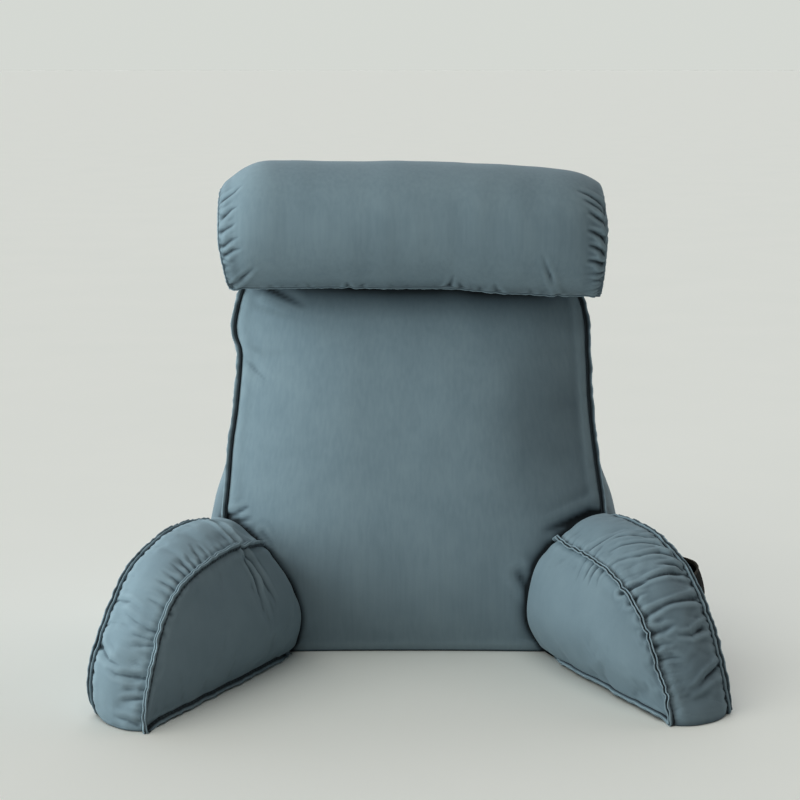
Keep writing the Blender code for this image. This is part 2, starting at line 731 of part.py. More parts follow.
def bolster_section(x, sign, share, ring_share):
    # One ring round the bolster, drawn in by the end rounding and by its end disc
    cx, cy, cz = BOLSTER_CENTRE
    drop = (BOLSTER_RADIUS - BOLSTER_END_RADIUS) * bolster_end(share)
    radius = BOLSTER_RADIUS - drop
    rake = BOLSTER_END_RAKE[0] if sign < 0 else BOLSTER_END_RAKE[1]
    points = []
    for k in range(BOLSTER_AROUND):
        angle = 2.0 * math.pi * k / BOLSTER_AROUND
        degrees = math.degrees(math.atan2(math.sin(angle), math.cos(angle)))
        gather = BOLSTER_GATHER_DEPTH * share ** 2 * ring_share
        r = radius * ring_share - gather * (0.5 + 0.5 * math.cos(BOLSTER_GATHERS * angle))
        here = np.array((x, math.radians(degrees) * BOLSTER_RADIUS))
        folds = [
            (a, math.radians(b) * BOLSTER_RADIUS, c, math.radians(d) * BOLSTER_RADIUS, w, h)
            for a, b, c, d, w, h in BOLSTER_FOLDS
        ]
        r -= float(hollow(here, folds)) * ring_share
        y = cy - r * math.cos(angle)
        z = cz - drop + r * math.sin(angle)
        down = max(0.0, -math.sin(angle)) * ring_share
        px = x - sign * rake * share ** BOLSTER_RAKE_POWER * down
        turned_x = cx + px * math.cos(BOLSTER_TILT) + (z - cz) * math.sin(BOLSTER_TILT)
        turned_z = cz - px * math.sin(BOLSTER_TILT) + (z - cz) * math.cos(BOLSTER_TILT)
        if turned_z < BOLSTER_CONTACT_HEIGHT:
            surface = float(back_front_y(np.array(turned_x), np.array(min(turned_z, BACK_TOP))))
            relief = np.clip((abs(turned_x) - BOLSTER_RELIEF_FROM) / BOLSTER_RELIEF_RUN, 0.0, 1.0)
            y = min(y, surface - BOLSTER_CLEARANCE - BOLSTER_EDGE_RELIEF * relief)
        points.append((turned_x, y, turned_z))
    return points


def build_bolster(material):
    body_end = BOLSTER_HALF_LENGTH - BOLSTER_ROUNDING
    stations = []
    for k in range(BOLSTER_ROUNDING_STATIONS, 0, -1):
        share = math.sin(0.5 * math.pi * k / BOLSTER_ROUNDING_STATIONS)
        stations.append((-body_end - BOLSTER_ROUNDING * share, -1.0, share))
    for k in range(BOLSTER_BODY_STATIONS + 1):
        stations.append((-body_end + 2.0 * body_end * k / BOLSTER_BODY_STATIONS, 1.0, 0.0))
    for k in range(1, BOLSTER_ROUNDING_STATIONS + 1):
        share = math.sin(0.5 * math.pi * k / BOLSTER_ROUNDING_STATIONS)
        stations.append((body_end + BOLSTER_ROUNDING * share, 1.0, share))
    rings = []
    for k in range(1, BOLSTER_END_RINGS):
        ring_share = k / BOLSTER_END_RINGS
        swell = BOLSTER_END_CROWN * (1.0 - ring_share ** BOLSTER_END_POWER)
        rings.append(bolster_section(-BOLSTER_HALF_LENGTH - swell, -1.0, 1.0, ring_share))
    for x, sign, share in stations:
        rings.append(bolster_section(x, sign, share, 1.0))
    for k in range(BOLSTER_END_RINGS - 1, 0, -1):
        ring_share = k / BOLSTER_END_RINGS
        swell = BOLSTER_END_CROWN * (1.0 - ring_share ** BOLSTER_END_POWER)
        rings.append(bolster_section(BOLSTER_HALF_LENGTH + swell, 1.0, 1.0, ring_share))
    vertices = [p for ring in rings for p in ring]
    faces = []
    around = BOLSTER_AROUND
    for row in range(len(rings) - 1):
        for k in range(around):
            n = (k + 1) % around
            a = row * around
            faces.append((a + k, a + n, a + around + n, a + around + k))
    for ring, sign in ((rings[0], -1.0), (rings[-1], 1.0)):
        centre = np.mean(np.array(ring), axis=0)
        centre[0] += sign * BOLSTER_END_CROWN * BOLSTER_END_DIMPLE
        vertices.append(tuple(centre))
        start = 0 if sign < 0 else (len(rings) - 1) * around
        for k in range(around):
            faces.append((start + k, start + (k + 1) % around, len(vertices) - 1))
    return add_object("head_bolster", vertices, faces, material)


def build_pocket(seams, cloth, binding):
    # Patch sewn down at its sides and foot, standing off the arm at its open mouth
    grid = seams["outer_grid"]
    panel = seams["outer"][3]
    c0, c1 = POCKET_COLUMNS
    r0, r1 = POCKET_ROWS
    near = []
    far = []
    for i in range(c0, c1 + 1):
        for j in range(r0, r1 + 1):
            across = (i - c0) / (c1 - c0)
            up = (j - r0) / (r1 - r0)
            step_u = grid[i + 1, j] - grid[i - 1, j]
            step_v = grid[i, j + 1] - grid[i, j - 1]
            normal = np.cross(step_u, step_v)
            normal /= np.linalg.norm(normal)
            if normal @ panel < 0.0:
                normal = -normal
            level = normal.copy()
            level[2] = 0.0
            level /= np.linalg.norm(level)
            bow = math.sin(math.pi * across) ** POCKET_ROUNDNESS
            lift = POCKET_SLACK * bow * up ** POCKET_LIFT_POWER
            start = grid[i, j] + normal * POCKET_EDGE_CLEARANCE + level * lift
            near.append(start)
            far.append(start + normal * POCKET_THICKNESS)
    columns = c1 - c0 + 1
    rows = r1 - r0 + 1
    count = columns * rows
    vertices = [tuple(p) for p in near] + [tuple(p) for p in far]
    faces = []
    for i in range(columns - 1):
        for j in range(rows - 1):
            a = i * rows + j
            b = a + rows
            faces.append((a, a + 1, b + 1, b))
            faces.append((count + a, count + b, count + b + 1, count + a + 1))
    edge = [i * rows + j for i, j in border_order(columns, rows)]
    for k in range(len(edge)):
        n = edge[(k + 1) % len(edge)]
        faces.append((edge[k], n, count + n, count + edge[k]))
    add_object("side_pocket", vertices, faces, cloth)
    inner = np.array([near[i * rows + rows - 1] for i in range(1, columns - 1)])
    outer = np.array([far[i * rows + rows - 1] for i in range(1, columns - 1)])
    base = np.concatenate([inner, outer])
    rise = np.array((0.0, 0.0, CLEARANCE))
    tall = np.array((0.0, 0.0, CLEARANCE + POCKET_BINDING_HEIGHT))
    steps = len(inner)
    vertices = [tuple(p + rise) for p in base] + [tuple(p + tall) for p in base]
    faces = []
    for k in range(steps - 1):
        a, b = k, k + steps
        c, d = a + 2 * steps, b + 2 * steps
        faces += [(a, b, b + 1, a + 1), (c, c + 1, d + 1, d)]
        faces += [(a, a + 1, c + 1, c), (b, d, d + 1, b + 1)]
    for k in (0, steps - 1):
        faces.append((k, k + 2 * steps, k + 3 * steps, k + steps))
    add_object("pocket_binding", vertices, faces, binding)


def build():
    clear_scene()
    cover = make_material("cover_cloth", COVER_CLOTH)
    arm_cloth = make_material("arm_cloth", ARM_CLOTH)
    bolster_cloth = make_material("bolster_cloth", BOLSTER_CLOTH)
    flange_cloth = make_material("flange_cloth", FLANGE_CLOTH)
    pocket_cloth = make_material("pocket_cloth", POCKET_CLOTH)
    binding_cloth = make_material("binding_cloth", BINDING_CLOTH)

    back, ring_front, ring_rear, normal = build_back(cover)
    left, left_seams = build_arm("arm_left", LEFT_ARM, arm_cloth)
    right, right_seams = build_arm("arm_right", RIGHT_ARM, arm_cloth)
    cutter = grown_copy(back, CONTACT_CLEARANCE)
    trim(left, cutter)
    trim(right, cutter)
    bpy.data.objects.remove(cutter, do_unlink=True)
    bolster = build_bolster(bolster_cloth)

    back_skin, left_skin, right_skin = skin(back), skin(left), skin(right)
    bolster_skin = skin(bolster)
    around_back = [left_skin, right_skin, bolster_skin]
    back_flange("back_front_flange", ring_front, normal, -1.0, around_back, flange_cloth)
    back_flange("back_rear_flange", ring_rear, normal, 1.0, around_back, flange_cloth)
    for side, seams in (("left", left_seams), ("right", right_seams)):
        for which in ("inner", "outer"):
            arm_flange(f"arm_{side}_{which}_flange", seams, which, [back_skin], flange_cloth)
    build_pocket(right_seams, pocket_cloth, binding_cloth)


build()
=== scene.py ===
import math
import random

import bpy
import bmesh
import numpy as np
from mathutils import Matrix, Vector, noise
from mathutils.bvhtree import BVHTree
from mathutils.kdtree import KDTree


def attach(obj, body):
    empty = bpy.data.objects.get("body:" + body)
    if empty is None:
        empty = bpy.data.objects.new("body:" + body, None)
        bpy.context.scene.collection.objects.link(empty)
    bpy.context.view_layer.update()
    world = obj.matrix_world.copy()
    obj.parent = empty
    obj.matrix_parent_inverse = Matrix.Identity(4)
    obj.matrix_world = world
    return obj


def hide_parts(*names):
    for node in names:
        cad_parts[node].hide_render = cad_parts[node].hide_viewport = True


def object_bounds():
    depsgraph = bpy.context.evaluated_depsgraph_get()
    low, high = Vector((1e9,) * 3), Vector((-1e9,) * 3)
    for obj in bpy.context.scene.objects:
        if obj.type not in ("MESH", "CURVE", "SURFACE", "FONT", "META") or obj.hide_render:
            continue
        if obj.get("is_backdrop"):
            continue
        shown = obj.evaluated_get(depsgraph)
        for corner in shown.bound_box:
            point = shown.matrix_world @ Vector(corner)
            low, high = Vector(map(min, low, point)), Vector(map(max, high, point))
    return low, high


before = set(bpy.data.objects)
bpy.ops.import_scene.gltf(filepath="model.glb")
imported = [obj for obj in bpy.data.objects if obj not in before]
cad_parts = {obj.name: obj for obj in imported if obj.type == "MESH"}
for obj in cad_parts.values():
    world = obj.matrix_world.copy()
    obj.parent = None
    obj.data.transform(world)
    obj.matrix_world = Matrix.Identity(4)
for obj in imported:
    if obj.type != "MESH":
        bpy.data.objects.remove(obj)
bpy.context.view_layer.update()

scene = bpy.context.scene
print("frame loaded:", len(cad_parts), "nodes")


# colour and material helpers
def hexToLinear(text):
    values = [int(text[i:i + 2], 16) / 255.0 for i in (1, 3, 5)]
    linear = [v / 12.92 if v <= 0.04045 else ((v + 0.055) / 1.055) ** 2.4 for v in values]
    return (*linear, 1.0)


def addNode(tree, kind, values=None):
    # values: node properties by name, input sockets by number or by "in:" and their name.
    # An output socket as a value is linked.
    node = tree.nodes.new(kind)
    for key, value in (values or {}).items():
        if isinstance(key, str) and not key.startswith("in:"):
            setattr(node, key, value)
            continue
        socket = node.inputs[key if isinstance(key, int) else key[3:]]
        if isinstance(value, bpy.types.NodeSocket):
            tree.links.new(value, socket)
        else:
            socket.default_value = value
    return node


def ramp(tree, source, start, end, low=0.0, high=1.0):
    values = {0: source, 1: start, 2: end, 3: low, 4: high}
    return addNode(tree, "ShaderNodeMapRange", values).outputs[0]


def blend(tree, share, first, second):
    values = {"data_type": "RGBA", 0: share, 6: first, 7: second}
    return addNode(tree, "ShaderNodeMix", values).outputs[2]


def speckle(tree, place, scale, detail, roughness=0.5):
    return addNode(tree, "ShaderNodeTexNoise", {
        "in:Vector": place, "in:Scale": scale, "in:Detail": detail, "in:Roughness": roughness,
    }).outputs[0]


# Washed cotton: mid blue-grey twill with a brushed face.  It is matt, with a soft sheen at grazing
# angles, faintly mottled by the wash, streaked along the warp, painted paler on ridges for wear and
# as a painted highlight, and painted darker in troughs and gaps as shade.
clothLook = {
    "base": "#697b85",
    "faded": "#73858e",
    # the next three are painted: a pale colour for wear and painted highlight on ridges, painted
    # shade in troughs, near-black painted shade in the gaps between pieces
    "wearAndHighlight": "#8c9ea7",
    "shadowed": "#38454e",
    "crevice": "#11171b",
    "mottleScale": 1000 / 55.0,      # wash mottling about 55 mm across
    "streakAcross": 1000 / 5.0,      # slubs in the warp, 5 mm apart
    "streakAlong": 1000 / 90.0,      # and 90 mm long
    "threadScale": 1000 / 2.6,       # real threads are 0.5 mm apart, too fine to show
    "mottleShare": 0.55,
    "streakShare": 0.45,
    "ridgeWearAndHighlight": 0.35,               # how far ridges go to the pale colour of wear and painted highlight
    "troughShade": 0.70,             # how far troughs go to the painted shade colour
    "gapShade": 0.95,                # and the deepest gaps to the near-black painted shade
    "roughness": 0.92,
    "specular": 0.22,
    "sheen": 0.22,
    "sheenTint": "#a9bac2",
    "bump": 0.10,
    "bumpHeight": 0.0012,
}


def washedCotton(name, look, tone=1.0):
    material = bpy.data.materials.new(name)
    material.use_nodes = True
    tree = material.node_tree
    colours = {key: hexToLinear(look[key])
               for key in ("base", "faded", "wearAndHighlight", "shadowed", "crevice")}
    place = addNode(tree, "ShaderNodeTexCoord").outputs["Object"]
    mottle = speckle(tree, place, look["mottleScale"], 4.0, 0.55)
    stretch = addNode(tree, "ShaderNodeMapping", {
        "in:Vector": place,
        "in:Scale": (look["streakAcross"], look["streakAcross"], look["streakAlong"]),
    })
    streak = speckle(tree, stretch.outputs[0], 1.0, 1.0)
    nap = speckle(tree, place, look["threadScale"], 2.0, 0.7)
    washed = addNode(tree, "ShaderNodeMath", {
        "operation": "MULTIPLY", 0: ramp(tree, mottle, 0.36, 0.66), 1: look["mottleShare"],
    })
    faded = addNode(tree, "ShaderNodeMath", {
        "operation": "MULTIPLY_ADD", 0: ramp(tree, streak, 0.30, 0.70),
        1: look["streakShare"], 2: washed.outputs[0],
    })
    colour = blend(tree, faded.outputs[0], colours["base"], colours["faded"])
    # ridges are painted paler for wear and as highlight, troughs painted darker as shade, and the
    # gaps between pieces painted almost black as shade
    hollow = addNode(tree, "ShaderNodeAttribute", {"attribute_name": "hollow"}).outputs["Fac"]
    for tint, start, end, most in (("wearAndHighlight", 0.08, 1.0, look["ridgeWearAndHighlight"]),
                                   ("shadowed", -0.08, -1.0, look["troughShade"]),
                                   ("crevice", -1.0, -2.0, look["gapShade"])):
        colour = blend(tree, ramp(tree, hollow, start, end, 0.0, most), colour, colours[tint])
    toned = addNode(tree, "ShaderNodeHueSaturation", {"in:Color": colour, "in:Value": tone})
    relief = addNode(tree, "ShaderNodeBump", {
        "in:Height": nap, "in:Strength": look["bump"], "in:Distance": look["bumpHeight"],
    })
    shader = tree.nodes["Principled BSDF"]
    tree.links.new(toned.outputs[0], shader.inputs["Base Color"])
    tree.links.new(relief.outputs[0], shader.inputs["Normal"])
    for socket, value in (("Roughness", look["roughness"]), ("IOR", 1.46),
                          ("Specular IOR Level", look["specular"]),
                          ("Sheen Weight", look["sheen"]), ("Sheen Roughness", 0.45),
                          ("Sheen Tint", hexToLinear(look["sheenTint"]))):
        shader.inputs[socket].default_value = value
    return material


coverCotton = washedCotton("washed cotton cover", clothLook)
armCotton = washedCotton("washed cotton arms", dict(clothLook, streakShare=0.12))
bolsterCotton = washedCotton("washed cotton bolster", clothLook)
# the seam edges are painted 6 % lighter than the cover, a painted highlight on edges that catch the
# light
seamCotton = washedCotton("washed cotton seam edge", clothLook, 1.06)

# Pocket: near-black coated nylon taffeta, matt and so dark that only its rim stands out
pocketLook = dict(clothLook, base="#060607", faded="#0a0a0b", shadowed="#040404",
                  crevice="#020202", wearAndHighlight="#121314", sheen=0.0, specular=0.04, roughness=0.7)
pocketNylon = washedCotton("black nylon taffeta pocket", pocketLook)
# Binding: dark olive grosgrain tape, a shade lighter than the pocket whose mouth it edges
bindingLook = dict(clothLook, base="#27231c", faded="#312d24", wearAndHighlight="#3a362b", shadowed="#1d1b16",
                   crevice="#14120f", sheen=0.02, specular=0.10, roughness=0.8)
bindingTape = washedCotton("olive grosgrain binding", bindingLook)


# curve and grid helpers
def smoothCurve(rows, steps=24):
    # Smooth curve through the rows, as closely spaced points
    points = np.array(rows, dtype=float)
    chord = np.linalg.norm(np.diff(points, axis=0), axis=1)
    knots = np.concatenate([[0.0], np.cumsum(chord)])
    slopes = np.gradient(points, knots, axis=0)
    out = []
    for i in range(len(points) - 1):
        span = knots[i + 1] - knots[i]
        for step in range(steps):
            t = step / steps
            out.append((2 * t ** 3 - 3 * t ** 2 + 1) * points[i]
                       + (t ** 3 - 2 * t ** 2 + t) * span * slopes[i]
                       + (3 * t ** 2 - 2 * t ** 3) * points[i + 1]
                       + (t ** 3 - t ** 2) * span * slopes[i + 1])
    out.append(points[-1])
    return np.array(out)


def lengths(curve):
    return np.concatenate([[0.0], np.cumsum(np.linalg.norm(np.diff(curve, axis=0), axis=1))])


def atShares(curve, shares, values=None):
    # Points of a curve, or values given along it, at shares of its length
    length = lengths(curve)
    values = curve if values is None else values
    wanted = np.asarray(shares) * length[-1]
    return np.stack([np.interp(wanted, length, column) for column in values.T], axis=1)


def fromTable(rows, at, column=1):
    rows = np.asarray(rows)
    return np.interp(at, rows[:, 0], rows[:, column])


def filledPatch(bottom, top, left, right, across, up):
    u = np.asarray(across)[:, None, None]
    v = np.asarray(up)[None, :, None]
    corners = ((1 - u) * (1 - v) * bottom[0] + u * (1 - v) * bottom[-1]
               + (1 - u) * v * top[0] + u * v * top[-1])
    return ((1 - u) * left[None] + u * right[None]
            + (1 - v) * bottom[:, None] + v * top[:, None] - corners)


def borderOrder(columns, rows):
    order = [(i, 0) for i in range(columns)]
    order += [(columns - 1, j) for j in range(1, rows)]
    order += [(i, rows - 1) for i in range(columns - 2, -1, -1)]
    return order + [(0, j) for j in range(rows - 2, 0, -1)]


def alongBorder(grid, order):
    return np.array([grid[i, j] for i, j in order])


def dome(share, power):
    return 1.0 - np.abs(2.0 * share - 1.0) ** power


def outward(ring):
    tangent = np.roll(ring, -1, axis=0) - np.roll(ring, 1, axis=0)
    normal = np.stack([tangent[:, 1], -tangent[:, 0]], axis=1)
    return normal / np.linalg.norm(normal, axis=1)[:, None]


def meshPoints(mesh):
    flat = np.empty(len(mesh.vertices) * 3)
    mesh.vertices.foreach_get("co", flat)
    return flat.reshape(-1, 3)


def meshNormals(mesh):
    flat = np.empty(len(mesh.vertices) * 3)
    mesh.vertex_normals.foreach_get("vector", flat)
    return flat.reshape(-1, 3)


def setPoints(mesh, points):
    mesh.vertices.foreach_set("co", np.ascontiguousarray(points).ravel())
    mesh.update()


def smoothShade(mesh, degrees=70):
    for polygon in mesh.polygons:
        polygon.use_smooth = True
    mesh.set_sharp_from_angle(angle=math.radians(degrees))


def addPiece(name, vertices, faces, material):
    mesh = bpy.data.meshes.new(name)
    mesh.from_pydata([tuple(map(float, v)) for v in vertices], [], faces)
    body = bmesh.new()
    body.from_mesh(mesh)
    bmesh.ops.recalc_face_normals(body, faces=body.faces)
    body.to_mesh(mesh)
    body.free()
    mesh.materials.append(material)
    item = bpy.data.objects.new(name, mesh)
    scene.collection.objects.link(item)
    smoothShade(mesh)
    return item


def tubeFaces(count, around, ends="capped", first=0):
    # Quads between rings of points; the tube's ends are open, capped or joined to a loop
    faces = []
    for row in range(count if ends == "joined" else count - 1):
        near, far = first + row * around, first + (row + 1) % count * around
        faces += [(near + k, near + (k + 1) % around, far + (k + 1) % around, far + k)
                  for k in range(around)]
    if ends == "capped":
        last = first + (count - 1) * around
        faces += [tuple(range(first, first + around))[::-1], tuple(range(last, last + around))]
    return faces


def storeValues(mesh, name, values):
    layer = mesh.attributes.get(name) or mesh.attributes.new(name, "FLOAT", "POINT")
    layer.data.foreach_set("value", np.asarray(values, dtype=np.float32))


def applyModifiers(item):
    bpy.context.view_layer.update()
    view = item.evaluated_get(bpy.context.evaluated_depsgraph_get())
    mesh = bpy.data.meshes.new_from_object(view)
    item.modifiers.clear()
    old = item.data
    item.data = mesh
    bpy.data.meshes.remove(old)


def boxedCushion(name, front, rear, strip, material):
    # Two panels joined round their borders by a boxing strip; the seams are kept as rings
    columns, rows = front.shape[:2]
    count = columns * rows
    order = borderOrder(columns, rows)
    around = len(order)
    vertices = [front.reshape(-1, 3), rear.reshape(-1, 3)] + list(strip)
    rings = [[i * rows + j for i, j in order]]
    rings += [list(range(2 * count + k * around, 2 * count + (k + 1) * around))
              for k in range(len(strip))]
    rings.append([count + i * rows + j for i, j in order])
    faces = []
    for i in range(columns - 1):
        for j in range(rows - 1):
            a, b = i * rows + j, (i + 1) * rows + j
            faces.append((a, b, b + 1, a + 1))
            faces.append((count + a, count + a + 1, count + b + 1, count + b))
    for near, far in zip(rings[:-1], rings[1:]):
        faces += [(near[(k + 1) % around], near[k], far[k], far[(k + 1) % around])
                  for k in range(around)]
    item = addPiece(name, np.concatenate(vertices), faces, material)
    creaseSeams(item, (rings[0], rings[-1]))
    onStrip = item.vertex_groups.new(name="strip")
    onStrip.add(list(range(2 * count, len(item.data.vertices))), 1.0, "REPLACE")
    onStrip.add(rings[0] + rings[-1], 0.5, "REPLACE")
    return item, rings[0], rings[-1]


def creaseSeams(item, rings, amount=0.85):
    # Sewn edges stay crisp when the cushion is subdivided
    sewn = set()
    for ring in rings:
        sewn |= {frozenset((a, b)) for a, b in zip(ring, ring[1:] + ring[:1])}
    layer = item.data.attributes.new("crease_edge", "FLOAT", "EDGE")
    values = [amount if frozenset(edge.vertices) in sewn else 0.0 for edge in item.data.edges]
    layer.data.foreach_set("value", values)


def smoothNoise(points, size, seed):
    # Soft random values about -1 to 1 at each point, changing over the given sizes in metres
    shift = Vector((seed * 3.7, seed * 1.3, seed * 7.1))
    scale = Vector(size)
    return np.array([
        noise.noise(Vector((p[0] / scale[0], p[1] / scale[1], p[2] / scale[2])) + shift)
        for p in points])


def foldProfile(across):
    # A fold's section: a narrow valley with a rounded shoulder on each side
    valley = np.exp(-1.7 * (np.sqrt(across ** 2 + 0.06) - 0.245))
    return valley - 0.34 * np.exp(-((across - 2.0) / 0.95) ** 2)


def foldLines(table):
    # A table's rows, in tenths of a millimetre, as points, half width and depth in metres
    return [(np.array(points) / 10000.0, wide / 10000.0, deep / 10000.0)
            for wide, deep, *points in table]


def foldShift(points, folds):
    # Depth of the listed folds at each point: a trough with a soft ridge on each side,
    # deepest at the line's first point
    total = np.zeros(len(points))
    for line, halfWidth, depth in folds:
        reach = 3.5 * halfWidth
        low, high = line.min(axis=0) - reach, line.max(axis=0) + reach
        near = np.where(np.all((points > low) & (points < high), axis=1))[0]
        if not len(near):
            continue
        here = points[near]
        length = lengths(line)
        best = np.full(len(near), 1e9)
        share = np.zeros(len(near))
        for k in range(len(line) - 1):
            step = line[k + 1] - line[k]
            t = np.clip(((here - line[k]) @ step) / (step @ step), 0.0, 1.0)
            distance = np.linalg.norm(here - (line[k] + t[:, None] * step), axis=1)
            closer = distance < best
            best[closer] = distance[closer]
            share[closer] = ((length[k] + t * (length[k + 1] - length[k])) / length[-1])[closer]
        fade = np.minimum(1.0, 0.6 + 4.0 * share) * (1.0 - share) ** 0.85
        wide = halfWidth * (1.0 - 0.4 * share)
        total[near] += depth * fade * foldProfile(best / wide)
    return total


def seamPlaces(points, seam, limit):
    # Nearest place on a seam for each point: length along the seam and distance from it
    spacing = 0.001
    samples = atShares(seam, np.linspace(0.0, 1.0, int(lengths(seam)[-1] / spacing)))
    tree = KDTree(len(samples))
    for k, p in enumerate(samples):
        tree.insert(p, k)
    tree.balance()
    along = np.zeros(len(points))
    away = np.full(len(points), 1.0)
    low, high = seam.min(axis=0) - limit, seam.max(axis=0) + limit
    for k in np.where(np.all((points > low) & (points < high), axis=1))[0]:
        _, index, distance = tree.find(points[k])
        if distance < limit:
            along[k] = index * spacing
            away[k] = distance
    return along, away


def puckers(seamLength, look, seed):
    # Short folds that start at a seam: place, slant, half width, reach and depth of each
    draw = random.Random(seed)
    out = []
    at = draw.uniform(0.2, 1.0) * look["spacing"]
    while at < seamLength:
        strength = draw.uniform(0.25, 1.0) ** look["contrast"]
        out.append((at, draw.uniform(-0.5, 0.5) * look["slant"],
                    look["halfWidth"] * draw.uniform(0.75, 1.35),
                    look["reach"] * draw.uniform(0.45, 1.5) * (0.5 + 0.5 * strength),
                    look["depth"] * strength))
        at += look["spacing"] * draw.uniform(0.65, 1.4)
    return out


def puckerShift(along, away, rows):
    total = np.zeros(len(along))
    near = np.where(away < 0.9)[0]
    place, gap = along[near], away[near]
    depths = np.zeros(len(near))
    for at, slant, halfWidth, reach, depth in rows:
        offset = place - at - slant * gap
        close = np.abs(offset) < 3.5 * halfWidth
        here = gap[close]
        profile = foldProfile(np.abs(offset[close]) / (halfWidth * (1.0 + here / 0.045)))
        fade = np.clip(1.0 - here / (2.0 * reach), 0.0, 1.0) ** 1.6
        depths[close] += depth * profile * fade * np.clip(here / 0.003, 0.0, 1.0)
    total[near] = depths
    return total


def nearTo(points, centre, radius):
    # 1 at the centre, falling softly to 0 beyond the radius
    return np.exp(-(np.linalg.norm(points - np.array(centre), axis=1) / radius) ** 2)


def softened(mesh, values, rounds):
    # Vectors on the points, evened out with their neighbours' again and again
    pairs = np.empty(len(mesh.edges) * 2, dtype=np.int64)
    mesh.edges.foreach_get("vertices", pairs)
    pairs = pairs.reshape(-1, 2)
    count = np.maximum(np.bincount(pairs.ravel(), minlength=len(values)), 1)[:, None]
    soft = values.copy()
    for _ in range(rounds):
        total = np.zeros_like(soft)
        for axis in range(3):
            total[:, axis] = (
                np.bincount(pairs[:, 0], soft[pairs[:, 1], axis], minlength=len(soft))
                + np.bincount(pairs[:, 1], soft[pairs[:, 0], axis], minlength=len(soft)))
        soft = 0.4 * soft + 0.6 * total / count
    return soft


hollowLook = {
    "rounds": 8,             # how smooth the skin is that heights are measured from
    "height": 0.0007,        # of a ridge painted fully pale for wear and highlight; a trough this deep is painted in full shade
    "stitching": 1.7,        # strength of the painted shade along the stitching and beside the seams
    "ground": 1.3,           # and of the painted shade on the skin beside the ground
    "groundRun": 0.0040,
}


def storeHollows(item, touching=(), shaded=()):
    # Troughs and ridges as a value on each point, which the cloth's material paints as shade or as
    # paler wear and highlight; the stitching, the skin near other pieces, the shaded places and the
    # skin beside the ground get painted shade too
    h = hollowLook
    mesh = item.data
    points = meshPoints(mesh)
    soft = softened(mesh, points, h["rounds"])
    height = ((points - soft) * meshNormals(mesh)).sum(axis=1)
    value = np.clip(height / h["height"], -1.1, 1.0)
    if "seamLine" in mesh.attributes:
        line = np.empty(len(points), dtype=np.float32)
        mesh.attributes["seamLine"].data.foreach_get("value", line)
        value -= h["stitching"] * line
    for tree, parts, least in touching:
        # parts: run and strength of the shade; least: height, and the gap still dark there
        reach = 2.5 * max(run for run, _ in parts) + max(row[1] for row in least)
        heights, gaps = zip(*least)
        for k, p in enumerate(points):
            found = tree.find_nearest(Vector(p), reach)
            if found[0] is not None:
                away = max(0.0, found[3] - np.interp(p[2], heights, gaps))
                value[k] -= sum(strength * math.exp(-(away / run) ** 1.5)
                                for run, strength in parts)
    for centre, radius, strength in shaded:
        value -= strength * nearTo(points, centre, radius)
    value -= h["ground"] * np.exp(-(np.maximum(0.0, points[:, 2]) / h["groundRun"]) ** 1.5)
    storeValues(mesh, "hollow", np.clip(value, -2.0, 1.0))


# camera, light and floor
camera = {"place": (-0.0157, -2.7243, 0.773), "upFromDown": 80.469, "lens": 91.125, "sensor": 36.0}


def addObject(name, data, place=(0.0, 0.0, 0.0), source=None):
    # source: direction that a lamp's light comes from
    item = bpy.data.objects.new(name, data)
    item.location = place
    if source is not None:
        item.rotation_euler = source.to_track_quat("Z", "Y").to_euler()
    scene.collection.objects.link(item)
    return item


eyeData = bpy.data.cameras.new("camera")
eyeData.lens = camera["lens"]
eyeData.sensor_width = camera["sensor"]
eye = addObject("camera", eyeData, camera["place"])
eye.rotation_euler = (math.radians(camera["upFromDown"]), 0.0, 0.0)
scene.camera = eye

studio = {
    # a window close on the left, whose light falls off across the cushion
    "window": {"place": (-1.34, -0.555, 0.763), "aim": (0.0, -0.12, 0.25), "size": 1.0,
               "power": 23.5, "tint": "#f0fdff"},
    # a broad light from above on the viewer's left
    "ceiling": {"from": (-0.354, -0.354, 0.866), "softness": 80.0, "strength": 1.40,
                "tint": "#fffff8"},
    # the room: dim on the viewer's side, pale behind and along the horizon, brighter above
    "room": {"tint": "#fff0ea", "strength": 0.036, "wallTint": "#eef2ec", "wallStrength": 0.775,
             "skyTint": "#f2f2f4", "skyStrength": 1.20},
}
window = bpy.data.lights.new("window", "AREA")
window.size = studio["window"]["size"]
window.energy = studio["window"]["power"]
window.color = hexToLinear(studio["window"]["tint"])[:3]
windowObject = addObject("window", window, studio["window"]["place"],
                         Vector(studio["window"]["place"]) - Vector(studio["window"]["aim"]))
ceiling = bpy.data.lights.new("ceiling", "SUN")
ceiling.angle = math.radians(studio["ceiling"]["softness"])
ceiling.energy = studio["ceiling"]["strength"]
ceiling.color = hexToLinear(studio["ceiling"]["tint"])[:3]
addObject("ceiling", ceiling, source=Vector(studio["ceiling"]["from"]))

world = bpy.data.worlds.new("studio")
world.use_nodes = True
room, roomTree = studio["room"], world.node_tree
nearTint, wallTint, skyTint = (hexToLinear(room[key]) for key in ("tint", "wallTint", "skyTint"))
around = addNode(roomTree, "ShaderNodeTexCoord").outputs["Generated"]
_, depth, height = addNode(roomTree, "ShaderNodeSeparateXYZ", {0: around}).outputs
behind = ramp(roomTree, depth, 0.05, 0.55)
above = ramp(roomTree, height, 0.10, 0.30)
horizon = ramp(roomTree, height, 0.09, 0.03)
backTint = blend(roomTree, above, wallTint, skyTint)
backPower = ramp(roomTree, above, 0.0, 1.0, room["wallStrength"], room["skyStrength"])
frontTint = blend(roomTree, horizon, nearTint, wallTint)
frontPower = ramp(roomTree, horizon, 0.0, 1.0, room["strength"], room["wallStrength"])
background = roomTree.nodes["Background"]
roomTree.links.new(blend(roomTree, behind, frontTint, backTint), background.inputs[0])
roomTree.links.new(ramp(roomTree, behind, 0.0, 1.0, frontPower, backPower), background.inputs[1])
scene.world = world
scene.view_settings.view_transform = "Standard"

